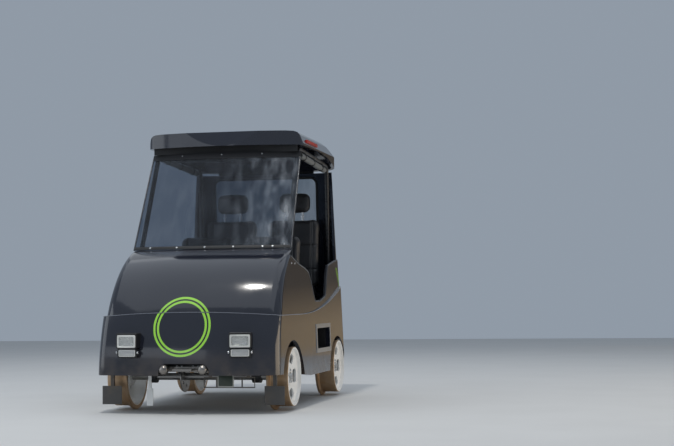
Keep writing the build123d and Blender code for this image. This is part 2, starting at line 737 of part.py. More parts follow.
for place, y in (("front", FRONT_AXLE_Y), ("rear", REAR_AXLE_Y)):
    at = Pos(0, y, AXLE_Z)
    finish(at * axle.part, f"{place}_axle")
    finish(at * wheel.part, f"{place}_wheel_left")
    finish(at * mirrored(wheel.part), f"{place}_wheel_right")
finish(Pos(0, REAR_AXLE_Y, AXLE_Z) * chain_wheel.part, "chain_wheel")
finish(Pos(0, FRONT_AXLE_Y, AXLE_Z) * brake_disc.part, "brake_disc")

# Chassis: two hollow rails, cross members, axle boxes under the rails
with BuildPart() as chassis_frame:
    rail_z = (RAIL_LOW_Z + rail_top_z) / 2
    with BuildSketch(Plane.XZ.offset(-CHASSIS_REAR_Y)) as rails:
        with Locations((-CHASSIS_RAIL_X, rail_z), (CHASSIS_RAIL_X, rail_z)):
            Rectangle(RAIL_WIDTH, RAIL_DEPTH)
            Rectangle(RAIL_WIDTH - 2 * TUBE_WALL, RAIL_DEPTH - 2 * TUBE_WALL, mode=Mode.SUBTRACT)
    extrude(amount=CHASSIS_REAR_Y - CHASSIS_FRONT_Y)
    for y in CROSS_MEMBERS_Y:
        with Locations((0, y, rail_z)):
            Box(2 * (CHASSIS_RAIL_X - RAIL_WIDTH / 2), CROSS_WIDTH, RAIL_DEPTH)
    for y in (CHASSIS_FRONT_Y, CHASSIS_REAR_Y):
        with Locations((0, y, rail_z)):
            Box(2 * FLOOR_HALF, HEADSTOCK_WALL, RAIL_DEPTH)
finish(chassis_frame.part, "chassis_frame")

with BuildPart() as axle_boxes:
    for y in (FRONT_AXLE_Y, REAR_AXLE_Y):
        for x in (-CHASSIS_RAIL_X, CHASSIS_RAIL_X):
            with BuildSketch(Plane.YZ.offset(x - RAIL_WIDTH / 2)):
                with Locations((y, AXLE_Z)):
                    Circle(BOX_R)
                with Locations((y, (AXLE_Z + RAIL_LOW_Z) / 2)):
                    Rectangle(2 * BOX_R, RAIL_LOW_Z - AXLE_Z)
                with Locations((y, AXLE_Z)):
                    Circle(AXLE_R + BEARING_PLAY, mode=Mode.SUBTRACT)
            extrude(amount=RAIL_WIDTH)
finish(axle_boxes.part, "axle_boxes")

with BuildPart() as floor_pan:
    with Locations((0, (CHASSIS_FRONT_Y + CHASSIS_REAR_Y) / 2, rail_top_z)):
        Box(2 * FLOOR_HALF, CHASSIS_REAR_Y - CHASSIS_FRONT_Y, FLOOR_WALL, align=ON_TOP)
finish(floor_pan.part, "floor_pan")

# Canopy frame: one bent tube on each side, joined by roof bows and cut off level on the floor
with BuildPart() as canopy_frame:
    for side in (1, -1):
        with BuildLine() as hoop:
            FilletPolyline(*((side * x, y, z) for x, y, z in HOOP), radius=HOOP_BEND_R)
        with BuildSketch(Plane(hoop.line @ 0, z_dir=hoop.line % 0)):
            Circle(HOOP_R)
        sweep()
    (top_x, front_bow, top_z), (_, rear_bow, rear_z) = HOOP[HOOP_TOP:HOOP_TOP + 2]
    for y in ROOF_BOWS_Y:
        z = top_z + (rear_z - top_z) * (y - front_bow) / (rear_bow - front_bow)
        with Locations(Location((0, y, z), (0, 90, 0))):
            Cylinder(BOW_R, 2 * top_x)
        for x in (-ROOF_PAD_X, ROOF_PAD_X):
            with Locations((x, y, z)):
                Box(ROOF_PAD, ROOF_PAD, ROOF_TOP_Z - ROOF_WALL - z, align=ON_TOP)
    add(floor_pan.part, mode=Mode.SUBTRACT)
finish(canopy_frame.part, "canopy_frame")

with BuildPart() as dashboard:
    with BuildSketch(Plane.YZ.offset(-DASH_HALF)):
        with BuildLine():
            Polyline(*DASH_SIDE, close=True)
        make_face()
    extrude(amount=2 * DASH_HALF)
    add(canopy_frame.part, mode=Mode.SUBTRACT)
finish(dashboard.part, "dashboard")


def leaning_plane(y, z):
    """Front face of a backrest that leans back, from its foot upwards."""
    tilt = math.radians(BACK_TILT)
    return Plane((0, y, z), x_dir=(1, 0, 0), z_dir=(0, -math.cos(tilt), math.sin(tilt)))


# Seats: a hollow plinth, two cushions and two backrests in each row
for row, cushion_y, cushion_z, plinth_half, plinth_back, back_height in SEAT_ROWS:
    with BuildPart() as plinth:
        depth = plinth_back - cushion_y
        with Locations((0, cushion_y + depth / 2, floor_z)):
            Box(2 * plinth_half, depth, cushion_z - floor_z, align=ON_TOP)
            Box(2 * (plinth_half - PLINTH_WALL), depth - 2 * PLINTH_WALL, cushion_z - floor_z - PLINTH_WALL,
                align=ON_TOP, mode=Mode.SUBTRACT)
    finish(plinth.part, f"{row}_seat_plinth")
    with BuildPart() as cushions:
        with Locations(*((x, cushion_y + CUSHION_DEPTH / 2, cushion_z + SEAT_GAP + CUSHION_THICK / 2)
                         for x in (-SEAT_PITCH / 2, SEAT_PITCH / 2))):
            Box(SEAT_WIDTH, CUSHION_DEPTH, CUSHION_THICK)
        fillet(cushions.edges().filter_by(Axis.Z), CUSHION_CORNER_R)
    finish(cushions.part, f"{row}_cushions")
    with BuildPart() as backrests:
        back_plane = leaning_plane(cushion_y + CUSHION_DEPTH + SEAT_GAP, cushion_z + BACK_LIFT)
        with BuildSketch(back_plane):
            with Locations(*((x, back_height / 2) for x in (-SEAT_PITCH / 2, SEAT_PITCH / 2))):
                RectangleRounded(SEAT_WIDTH, back_height, BACK_CORNER_R)
        extrude(amount=-BACK_THICK)
    finish(backrests.part, f"{row}_backrests")

with BuildPart() as headrests:
    _, cushion_y, cushion_z, _, _, back_height = SEAT_ROWS[-1]
    back_plane = leaning_plane(cushion_y + CUSHION_DEPTH + SEAT_GAP, cushion_z + BACK_LIFT)
    middle = back_plane.offset(-BACK_THICK / 2)
    for x in (-SEAT_PITCH / 2, SEAT_PITCH / 2):
        with BuildSketch(middle.offset(-HEADREST_THICK / 2)):
            with Locations((x, back_height + HEADREST_GAP + HEADREST_HEIGHT / 2)):
                RectangleRounded(HEADREST_WIDTH, HEADREST_HEIGHT, HEADREST_CORNER_R)
        extrude(amount=HEADREST_THICK)
        for post_x in (-HEADREST_WIDTH / 4, HEADREST_WIDTH / 4):
            with BuildSketch(middle.offset(-POST_SIZE / 2)):
                with Locations((x + post_x, back_height + HEADREST_GAP / 2)):
                    Rectangle(POST_SIZE, HEADREST_GAP)
            extrude(amount=POST_SIZE)
finish(headrests.part, "rear_headrests")

with BuildPart() as engine_block:
    with Locations((0, ENGINE_Y, floor_z)):
        Box(*ENGINE_SIZE, align=ON_TOP)
finish(engine_block.part, "engine_block")

# Lamps on the lower front and rear panels, each turned to look straight off the
# bowed face and cut to sit on it
lower_block = tier_solid(LOWER, SIDE_SILL_Z, lower_high)


def lamp_block(end, width, low, high, far, near):
    """Rounded block that looks along Y, from near to far off a face at the origin."""
    with BuildPart() as block:
        with Locations((0, end * (far + near) / 2, (low + high) / 2)):
            Box(width, far - near, high - low)
        fillet(block.edges().filter_by(Axis.Y), LAMP_CORNER_R)
        front = block.faces().sort_by(Axis.Y)[0 if end < 0 else -1]
        fillet(front.edges(), LAMP_EDGE_R)
    return block.part


def lamp_pair(blocks, end, lamp_x, face_z):
    """The blocks of a lamp on both sides of the car, on the lower body's face."""
    axis_y = front_axis_y if end < 0 else rear_axis_y
    middle_y = front_y(LOWER, face_z) if end < 0 else on_line(LOWER["rear"], face_z)
    bow_r = abs(middle_y - axis_y)
    with BuildPart() as pair:
        for x in (-lamp_x, lamp_x):
            face_y = axis_y + end * math.sqrt(bow_r**2 - x**2)
            turned = Location((x, face_y, 0), (0, 0, -end * math.degrees(math.asin(x / bow_r))))
            for block in blocks:
                add(turned * lamp_block(end, *block))
        add(lower_block, mode=Mode.SUBTRACT)
    return pair.part


headlamps = lamp_pair((HEADLAMP,), -1, LAMP_X, LAMP_FACE_Z)
led_bars = lamp_pair((LED_BAR,), -1, LAMP_X, LAMP_FACE_Z)
with BuildPart() as lamp_housings:
    add(lamp_pair(LAMP_HOUSINGS, -1, LAMP_X, LAMP_FACE_Z))
    add(headlamps, mode=Mode.SUBTRACT)
    add(led_bars, mode=Mode.SUBTRACT)
finish(headlamps, "headlamps")
finish(led_bars, "led_bars")
finish(lamp_housings.part, "lamp_housings")
finish(lamp_pair((TAIL_LAMP,), 1, TAIL_LAMP_X, TAIL_LAMP_FACE_Z), "tail_lamps")

with BuildPart() as side_markers:
    marker_x = ROOF_HALF + MARKER_REACH - ROOF_WALL / 2
    with Locations((-marker_x, MARKER_Y, MARKER_Z), (marker_x, MARKER_Y, MARKER_Z)):
        Box(ROOF_WALL, MARKER_LENGTH, MARKER_HEIGHT)
    add(roof.part, mode=Mode.SUBTRACT)
finish(side_markers.part, "side_markers")

# Couplers: a tongue with a pin bore between two round buffers
for label, end, face, headstock in (("front_coupler", -1, LOWER_FRONT_Y, CHASSIS_FRONT_Y),
                                    ("rear_coupler", 1, LOWER_REAR_Y, CHASSIS_REAR_Y)):
    with BuildPart() as coupler:
        base = headstock + end * HEADSTOCK_WALL / 2
        tip = face + end * COUPLER_REACH
        pin = tip - end * COUPLER_PIN_EDGE
        with Locations((0, base + end * COUPLER_BEAM / 2, BUFFER_Z)):
            Box(2 * (BUFFER_X + BUFFER_R / 2), COUPLER_BEAM, BUFFER_R)
        with BuildSketch(Plane.XY.offset(BUFFER_Z - COUPLER_PLATE / 2)):
            with Locations((0, (base + tip) / 2)):
                Rectangle(2 * TONGUE_HALF, abs(tip - base))
            with Locations((0, pin)):
                Circle(COUPLER_PIN_R, mode=Mode.SUBTRACT)
        extrude(amount=COUPLER_PLATE)
        for x in (-BUFFER_X, BUFFER_X):
            with Locations(Location((x, (base + face) / 2, BUFFER_Z), (90, 0, 0))):
                Cylinder(BUFFER_R / 2, abs(face - base))
            with Locations((x, face, BUFFER_Z)):
                Sphere(BUFFER_R)
    finish(coupler.part, label)

# Below the body: wheel guards, underrun lattice with a blank plate, sensor bar
with BuildPart() as wheel_guards:
    guard_x = wheel_outer_x - GUARD_WIDTH / 2
    arm_x = CHASSIS_RAIL_X + RAIL_WIDTH / 2
    for side in (1, -1):
        with Locations((side * guard_x, GUARD_Y, GUARD_LOW_Z)):
            Box(GUARD_WIDTH, GUARD_WALL, GUARD_HIGH_Z - GUARD_LOW_Z, align=ON_TOP)
        arm_low_z = GUARD_LOW_Z + GUARD_ARM_LIFT
        with Locations((side * guard_x, GUARD_Y + (GUARD_WALL + GUARD_ARM) / 2, arm_low_z)):
            Box(GUARD_ARM, GUARD_ARM, RAIL_LOW_Z + GUARD_ARM - arm_low_z, align=ON_TOP)
        with Locations((side * (arm_x + guard_x) / 2, GUARD_Y + (GUARD_WALL + GUARD_ARM) / 2, RAIL_LOW_Z)):
            Box(guard_x - arm_x, GUARD_ARM, GUARD_ARM, align=ON_TOP)
finish(wheel_guards.part, "wheel_guards")

with BuildPart() as underrun_lattice:
    lattice_mid = (LATTICE_LEFT + LATTICE_RIGHT) / 2
    lattice_width = LATTICE_RIGHT - LATTICE_LEFT
    cell = lattice_width / LATTICE_CELLS
    with BuildSketch(Plane.XZ.offset(-LATTICE_Y)):
        with Locations((lattice_mid, (LATTICE_LOW_Z + LATTICE_HIGH_Z) / 2)):
            Rectangle(lattice_width, LATTICE_HIGH_Z - LATTICE_LOW_Z)
            with GridLocations(cell, 1, LATTICE_CELLS, 1):
                Rectangle(cell - LATTICE_BAR, LATTICE_HIGH_Z - LATTICE_LOW_Z - 2 * LATTICE_BAR,
                          mode=Mode.SUBTRACT)
            with Locations((-cell / 2, 0)):
                Rectangle(cell, LATTICE_HIGH_Z - LATTICE_LOW_Z)
        for x in (LATTICE_LEFT + cell / 2, LATTICE_RIGHT - cell / 2):
            with Locations((x, (LATTICE_HIGH_Z + RAIL_LOW_Z) / 2)):
                Rectangle(LATTICE_BAR * 3, RAIL_LOW_Z - LATTICE_HIGH_Z)
    extrude(amount=LATTICE_BAR)
finish(underrun_lattice.part, "underrun_lattice")

with BuildPart() as sensor_bar:
    with Locations((SENSOR_X, LATTICE_Y, SENSOR_LOW_Z)):
        Box(SENSOR_WIDTH, SENSOR_WALL, SENSOR_HIGH_Z - SENSOR_LOW_Z, align=ON_TOP)
    with Locations((SENSOR_X, LATTICE_Y, SENSOR_HIGH_Z)):
        Box(SENSOR_WIDTH / 2, SENSOR_WALL, RAIL_LOW_Z - SENSOR_HIGH_Z, align=ON_TOP)
finish(sensor_bar.part, "sensor_bar")

# Step recess in each side: a sheet box behind the hole and a raised frame round it
step_mid_y = (STEP_FRONT_Y + STEP_REAR_Y) / 2
step_mid_z = (STEP_LOW_Z + STEP_HIGH_Z) / 2
step_length = STEP_REAR_Y - STEP_FRONT_Y
step_height = STEP_HIGH_Z - STEP_LOW_Z
lower_line = LOWER["half"]
with BuildPart() as step_well:
    with Locations((FLOOR_HALF, step_mid_y, step_mid_z)):
        Box(LOWER_HALF - FLOOR_HALF, step_length - 2 * STEP_FRAME + 2 * STEP_WALL,
            step_height - 2 * STEP_FRAME + 2 * STEP_WALL, align=(Align.MIN, Align.CENTER, Align.CENTER))
    with Locations((FLOOR_HALF + STEP_WALL, step_mid_y, step_mid_z)):
        Box(LOWER_HALF, step_length - 2 * STEP_FRAME, step_height - 2 * STEP_FRAME,
            align=(Align.MIN, Align.CENTER, Align.CENTER), mode=Mode.SUBTRACT)
    inner_line = [(half - LOWER_WALL, z) for half, z in lower_line]
    (low_x, low), (high_x, high) = inner_line
    with BuildSketch(Plane.XZ):
        with BuildLine():
            Polyline((0, low), (low_x, low), (high_x, high), (0, high), close=True)
        make_face()
    extrude(amount=-LOWER_REAR_Y, mode=Mode.INTERSECT)
with BuildPart() as step_frame:
    proud_line = [(half + STEP_PROUD, z) for half, z in lower_line]
    add(side_slab([(STEP_FRONT_Y, STEP_LOW_Z), (STEP_REAR_Y, STEP_LOW_Z), (STEP_REAR_Y, STEP_HIGH_Z),
                   (STEP_FRONT_Y, STEP_HIGH_Z)], proud_line, STEP_PROUD))
    with BuildSketch(Plane.YZ):
        with Locations((step_mid_y, step_mid_z)):
            RectangleRounded(step_length - 2 * STEP_FRAME, step_height - 2 * STEP_FRAME, STEP_CORNER_R)
    extrude(amount=LOWER_HALF + LOWER_WALL, mode=Mode.SUBTRACT)
for label, piece in (("step_wells", step_well), ("step_frames", step_frame)):
    with BuildPart() as pair:
        add(piece.part)
        mirror(about=Plane.YZ)
    finish(pair.part, label)

# Side curtains, rolled up under the side tubes of the canopy frame
roll_start, roll_end = (Vector(*point) for point in HOOP[HOOP_TOP:HOOP_TOP + 2])
roll_run = (roll_end - roll_start).normalized()
roll_drop = Vector(0, 0, HOOP_R + CURTAIN_R + SEAT_GAP)
with BuildPart() as curtain_rolls:
    start = roll_start + roll_run * CURTAIN_START - roll_drop
    with BuildSketch(Plane(start, z_dir=roll_run)):
        Circle(CURTAIN_R)
    extrude(amount=CURTAIN_LENGTH)
    mirror(about=Plane.YZ)
finish(curtain_rolls.part, "curtain_rolls")
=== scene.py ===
# %% [markdown]
# # A small rail car for four people
# The real object is a light self driven rail car with a glossy black moulded
# body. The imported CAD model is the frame: it gives every place and size, in
# metres, with the front looking along -Y and the car's left at +X. This script
# adds the finishes and the fine pieces, and nothing here moves a CAD solid.

# %% Load the frame
import math

import bmesh
import bpy
from mathutils import Matrix, Vector, noise
from mathutils.bvhtree import BVHTree


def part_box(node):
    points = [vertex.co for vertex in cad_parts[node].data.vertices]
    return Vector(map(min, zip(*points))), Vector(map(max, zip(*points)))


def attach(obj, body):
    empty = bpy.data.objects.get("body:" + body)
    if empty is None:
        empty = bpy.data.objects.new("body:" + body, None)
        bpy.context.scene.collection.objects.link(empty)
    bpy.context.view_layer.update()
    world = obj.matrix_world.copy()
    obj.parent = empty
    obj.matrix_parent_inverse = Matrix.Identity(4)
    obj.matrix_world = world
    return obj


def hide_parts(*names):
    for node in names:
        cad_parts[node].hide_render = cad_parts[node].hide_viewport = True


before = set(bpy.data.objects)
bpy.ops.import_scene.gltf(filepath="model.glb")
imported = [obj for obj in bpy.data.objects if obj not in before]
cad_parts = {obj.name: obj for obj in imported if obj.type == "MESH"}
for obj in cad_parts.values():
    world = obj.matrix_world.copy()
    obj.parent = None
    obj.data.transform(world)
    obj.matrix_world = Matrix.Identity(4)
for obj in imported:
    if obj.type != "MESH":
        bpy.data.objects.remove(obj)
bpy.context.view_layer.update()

scene = bpy.context.scene

# %% [markdown]
# ## Camera
# The photograph was taken from the front, a little to the car's left, with a
# long lens. Its place and turn were worked out from corners of the body, so the
# camera is set by its axes: right, up and backwards.

# %% The camera at the photographer's place
PHOTO_WIDTH = 674
FOCAL_PX = 1454
SENSOR_MM = 36
EYE = Vector((2.970, -10.618, 0.7735))
TURN, TILT, ROLL = (math.radians(a) for a in (11.46, 2.951, -0.612))


def new_object(name, data):
    """A new object, linked to the scene."""
    made = bpy.data.objects.new(name, data)
    scene.collection.objects.link(made)
    return made


ahead = Vector((-math.sin(TURN) * math.cos(TILT), math.cos(TURN) * math.cos(TILT), math.sin(TILT)))
level_right = Vector((math.cos(TURN), math.sin(TURN), 0))
level_up = level_right.cross(ahead)
right = level_right * math.cos(ROLL) + level_up * math.sin(ROLL)
up = level_up * math.cos(ROLL) - level_right * math.sin(ROLL)

camera_data = bpy.data.cameras.new("photo_camera")
camera_data.sensor_width = SENSOR_MM
camera_data.lens = FOCAL_PX * SENSOR_MM / PHOTO_WIDTH
camera = new_object("photo_camera", camera_data)
camera.matrix_world = Matrix.Translation(EYE) @ Matrix((right, up, -ahead)).transposed().to_4x4()
scene.camera = camera
print("lens", round(camera_data.lens, 1), "mm")

# %% [markdown]
# ## Light
# Black gloss shows mostly what stands round it. One bright lamp would draw a
# white patch on it, so the light comes from a dim sky on all sides and wide soft
# lamps. One small lamp draws the sun's spot on the bonnet. A long brown card far
# behind, seen by reflections alone, darkens the side as a studio flag does.

# %% World and lamps
COOL = (0.88, 0.93, 1)


def area_lamp(name, place, target, size, watts, colour=(1, 1, 1)):
    """A soft rectangular lamp that looks at a point."""
    data = bpy.data.lights.new(name, "AREA")
    data.shape = "RECTANGLE"
    data.size, data.size_y = size
    data.energy = watts
    data.color = colour
    lamp = new_object(name, data)
    lamp.location = place
    lamp.rotation_euler = (Vector(target) - Vector(place)).to_track_quat("-Z", "Y").to_euler()
    return lamp


world = bpy.data.worlds.new("pale_studio")
scene.world = world
world.use_nodes = True
sky = world.node_tree.nodes["Background"]
sky.inputs["Color"].default_value = (0.62, 0.72, 0.85, 1)
sky.inputs["Strength"].default_value = 0.45

area_lamp("soft_top", (0, -1.0, 9.0), (0, 0, 0.5), (14, 14), 340, COOL)
area_lamp("warm_left", (7.0, 0.5, 1.0), (0, 0.3, 0.6), (7, 1.8), 84, (1, 0.81, 0.57))
area_lamp("soft_front", (-6.5, -13.0, 3.2), (0, 0, 1.6), (9, 1.6), 34, (0.86, 0.92, 1))
area_lamp("soft_right", (-6.0, -3.0, 2.4), (0, 0, 0.9), (4, 4), 60, (0.88, 0.94, 1))
area_lamp("sun_spot", (0.09, -3.56, 9.40), (0.446, -0.957, 0.862), (0.42, 0.42), 300, (1, 0.97, 0.92))
area_lamp("soft_back", (-1, 6.5, 6.5), (0, 0, 1), (9, 6), 55).visible_camera = False
scene.view_settings.view_transform = "Standard"

card_mesh = bpy.data.meshes.new("brown_card")
card_mesh.from_pydata([(2.1, 12, -0.2), (9, 11, -0.2), (9, 11, 3.3), (2.1, 12, 3.3)], [], [(0, 1, 2, 3)])
card = new_object("brown_card", card_mesh)
for kind in ("camera", "diffuse", "shadow", "transmission"):
    setattr(card, f"visible_{kind}", False)

# %% [markdown]
# ## Materials
# Every finish is a small tree of nodes that reads the place on the object, so it
# needs no image. These helpers keep the trees short: one starts a material, one
# adds a node, and the rest name the few sums that the finishes share. An output
# knows its own tree, so a sum of outputs needs no other word about where it is.

# %% Helpers for materials
def start(name, colour, roughness, metal=0.0, **shader_values):
    """A new material and its shader, with plain values on the shader's own sockets."""
    made = bpy.data.materials.new(name)
    made.use_nodes = True
    made.diffuse_color = (*colour, 1)
    shader = made.node_tree.nodes["Principled BSDF"]
    values = {"Base_Color": (*colour, 1), "Roughness": roughness, "Metallic": metal}
    for key, value in (values | shader_values).items():
        shader.inputs[key.replace("_", " ")].default_value = value
    return made, shader


def add_node(owner, kind, out=0, values=(), **settings):
    """A node in a material, or beside another output; returns one of its outputs."""
    tree = owner.node_tree if isinstance(owner, bpy.types.Material) else owner.id_data
    node = tree.nodes.new("ShaderNode" + kind)
    for key, value in settings.items():
        setattr(node, key, value)
    for socket, value in zip(node.inputs, values):
        if isinstance(value, bpy.types.NodeSocket):
            tree.links.new(value, socket)
        elif value is not None:
            socket.default_value = value
    return node.outputs[out]


def place_on(made, stretch=(1, 1, 1)):
    """Object coordinates, stretched."""
    return add_node(made, "Mapping", 0, (add_node(made, "TexCoord", "Object"), None, None, stretch))


def clouds(made, scale, detail=3, stretch=(1, 1, 1)):
    """Cloudy noise from 0 to 1."""
    return add_node(made, "TexNoise", "Fac", (place_on(made, stretch), None, scale, detail))


def axes(made, of="Object"):
    """The place on the object, or its normal, split into x, y and z."""
    return add_node(made, "SeparateXYZ", 0, (add_node(made, "TexCoord", of),)).node.outputs


def steps(factor, low, high, start_value=0.0, end_value=1.0):
    """Maps low to high onto start_value to end_value, held at both ends."""
    return add_node(factor, "MapRange", 0, (factor, low, high, start_value, end_value))


def sums(operation, first, *others):
    """One plain calculation, or a chain of them from left to right."""
    for other in others:
        first = add_node(first, "Math", 0, (first, other), operation=operation)
    return first


def times(*values):
    """A product."""
    return sums("MULTIPLY", *values)


def above(value, limit):
    """1 above the limit, 0 below it."""
    return sums("GREATER_THAN", value, limit)


def below(value, limit):
    """1 below the limit, 0 above it."""
    return sums("LESS_THAN", value, limit)


def distance(first, second, centre):
    """Distance from a centre, in the plane of two of the axes."""
    squares = [sums("POWER", sums("SUBTRACT", axis, middle), 2.0)
               for axis, middle in zip((first, second), centre)]
    return sums("SQRT", sums("ADD", *squares), None)


def band_of(radius, bands):
    """1 inside any of the bands, 0 outside."""
    return sums("ADD", *(times(above(radius, low), below(radius, high)) for low, high in bands))


def two_colours(factor, first, second):
    """Blend of two colours by a factor."""
    tree = factor.id_data
    node = tree.nodes.new("ShaderNodeMix")
    node.data_type = "RGBA"
    for key, value in (("Factor_Float", factor), ("A_Color", first), ("B_Color", second)):
        socket = next(s for s in node.inputs if s.identifier == key)
        if isinstance(value, bpy.types.NodeSocket):
            tree.links.new(value, socket)
        else:
            socket.default_value = (*value, 1)
    return next(s for s in node.outputs if s.identifier == "Result_Color")


def shade(colour, share):
    """The colour made darker or lighter."""
    return tuple(min(1, c * share) for c in colour)


def feed(shader, **links):
    """Links outputs to the shader's inputs by name."""
    for key, output in links.items():
        shader.id_data.links.new(output, shader.inputs[key.replace("_", " ")])


def rough_skin(shader, height, depth, strength=1.0):
    """A bump of that depth in metres."""
    feed(shader, Normal=add_node(height, "Bump", 0, (strength, depth, None, height)))


def finish_nodes(material, *names):
    """Gives CAD nodes their material."""
    for name in names:
        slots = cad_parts[name].data.materials
        slots.clear()
        slots.append(material)


card_finish, shader = start("brown_card", (0.5, 0.34, 0.19), 0.9)
feed(shader, Base_Color=two_colours(steps(axes(card_finish)[2], 0.5, 1.3),
                                    (0.80, 0.56, 0.32), (0.20, 0.15, 0.10)))
card_mesh.materials.append(card_finish)

# %% [markdown]
# ### Body paint
# The panels are black with a cold blue cast. Ballast dust lies on the lowest
# hand's breadth, polishing has left faint clouds in the gloss, and a lime double
# ring runs round the front. The ring is a colour, not a shape: it is a distance
# from a centre in the front view. Its upper part was stuck on a little off the
# lower one, so the two parts have their own centres.
# A lime sweep on each rear quarter is the same idea in the side view.

# %% Body paint with the lime ring
NIGHT = (0.011, 0.013, 0.022)
NIGHT_WORN = (0.020, 0.022, 0.031)
DUST = (0.13, 0.095, 0.065)
LIME = (0.36, 0.74, 0.07)
DUST_FROM_Z, DUST_FULL_Z = 0.46, 0.22
LOW_RING = (-0.024, 0.590)
HIGH_RING = (-0.035, 0.590)
RING_BANDS = ((0.161, 0.176), (0.187, 0.202))
RING_REAR_Y = -0.90
LOOKS_FORWARD = -0.1
SWEEP_CENTRE = (2.05, 1.62)
SWEEP_BANDS = ((1.205, 1.222), (1.240, 1.250))
SWEEP_LOW_Z, SWEEP_HIGH_Z = 0.72, 1.02
LOOKS_OUTWARD = 0.45


def body_paint(name, ring_centre=LOW_RING, stripes=True):
    """Black gloss with dust low down and, with stripes, the ring and the sweeps."""
    made, shader = start(name, NIGHT, 0.12, Coat_Weight=0.5, Coat_Roughness=0.05, IOR=1.5)
    x, y, z = axes(made)
    dust = times(steps(z, DUST_FROM_Z, DUST_FULL_Z),
                 steps(clouds(made, 9.0, 6), 0.35, 0.75, 0.1, 0.65))
    colour = two_colours(dust, two_colours(clouds(made, 3.0, 5), NIGHT, NIGHT_WORN), DUST)
    if stripes:
        normal_x, normal_y, _ = axes(made, "Normal")
        ring = times(band_of(distance(x, z, ring_centre), RING_BANDS),
                     below(y, RING_REAR_Y), below(normal_y, LOOKS_FORWARD))
        sweep = times(band_of(distance(y, z, SWEEP_CENTRE), SWEEP_BANDS),
                      above(z, SWEEP_LOW_Z), below(z, SWEEP_HIGH_Z),
                      above(times(x, normal_x), LOOKS_OUTWARD))
        colour = two_colours(sums("MAXIMUM", ring, sweep), colour, LIME)
    polish = steps(clouds(made, 5.0, 4), 0.3, 0.8, 0.08, 0.17)
    feed(shader, Base_Color=colour, Roughness=sums("ADD", polish, times(dust, 0.5)))
    rough_skin(shader, clouds(made, 4.0, 1), 0.0006, 0.25)
    return made


finish_nodes(body_paint("body_paint"), "lower_front_panel", "lower_rear_panel", "lower_side_left",
             "lower_side_right", "side_panel_left", "side_panel_right", "tail_panel")
finish_nodes(body_paint("bonnet_paint", HIGH_RING), "bonnet")
finish_nodes(body_paint("roof_paint", stripes=False), "roof")
print("body panels painted")

# %% [markdown]
# ### Clear sheets
# The windscreen is a bent plastic sheet. Wiping has left a film of dust on it
# in upright smears, so a little of the sheet is dull white there and the rest
# lets light through. On the windscreen the pale film thickens towards the car's
# left edge, and there it is partly a painted highlight: it stands for the bright
# upright reflection on the bend of the sheet. A rough clear sheet would blur what
# is behind it into grain, so the sheet itself stays smooth.

# %% Clear sheets
def clear_sheet(name, colour, film, film_and_glint_span):
    """A clear sheet with a pale film, dust and in part a painted highlight, that thickens between two
    places across the car.
    """
    made, shader = start(name, colour, 0.02, Transmission_Weight=1.0, IOR=1.3)
    smear_and_glint_streaks = steps(clouds(made, 9.0, 5, (1.6, 1, 0.25)), 0.42, 0.75, 0.12, 1.0)
    # The pale film is real dust, and where it thickens it is also a painted highlight.
    dust_and_glint = times(smear_and_glint_streaks, steps(axes(made)[0], *film_and_glint_span, 0.15, 1.0))
    feed(shader, Transmission_Weight=steps(dust_and_glint, 0, 1, 1.0, 1.0 - film),
         Base_Color=two_colours(dust_and_glint, colour, (0.60, 0.63, 0.66)))
    return made


# The windscreen's film is fullest near its left edge: a painted highlight for the upright reflection
# there, over real dust.
finish_nodes(clear_sheet("windscreen_sheet", (0.17, 0.21, 0.27), 0.42, (0.00, 0.52)), "windscreen")
finish_nodes(clear_sheet("rear_window_sheet", (0.30, 0.34, 0.38), 0.08, (-0.5, 0.5)), "rear_window")

# %% [markdown]
# ### Metals, paints and mouldings
# Worked metal keeps streaks along the way it was cut, and the same tree with no
# metal in it gives brushed paint. Mouldings have a fine pebble grain, rubber is
# the same but duller, and both fade unevenly.

# %% Metals and dark mouldings
def metal(name, colour, roughness, grain, stretch=(1, 1, 1), metallic=1.0,
          dirt=(0.10, 0.07, 0.04), share=0.25):
    """Worked metal: streaks along the grain and dirt in the clouds."""
    made, shader = start(name, colour, roughness, metallic)
    streaks = clouds(made, grain, 5, stretch)
    worn = two_colours(streaks, shade(colour, 0.75), shade(colour, 1.2))
    grime = steps(clouds(made, 7.0, 6), 0.5, 0.8, 0.0, share)
    feed(shader, Base_Color=two_colours(grime, worn, dirt),
         Roughness=steps(streaks, 0.3, 0.7, roughness * 0.7, min(1, roughness * 1.4)))
    rough_skin(shader, streaks, 0.0003, 0.3)
    return made


def moulding(name, colour, roughness, grain=400.0, depth=0.0003, **shader_values):
    """Plastic or rubber with a fine grain."""
    made, shader = start(name, colour, roughness, **shader_values)
    soft = clouds(made, 6.0, 4)
    feed(shader, Base_Color=two_colours(soft, shade(colour, 0.7), shade(colour, 1.3)),
         Roughness=steps(soft, 0.3, 0.8, roughness * 0.85, min(1, roughness * 1.15)))
    pebbles = add_node(made, "TexVoronoi", "Distance", (place_on(made), None, grain))
    rough_skin(shader, pebbles, depth, 0.5)
    return made


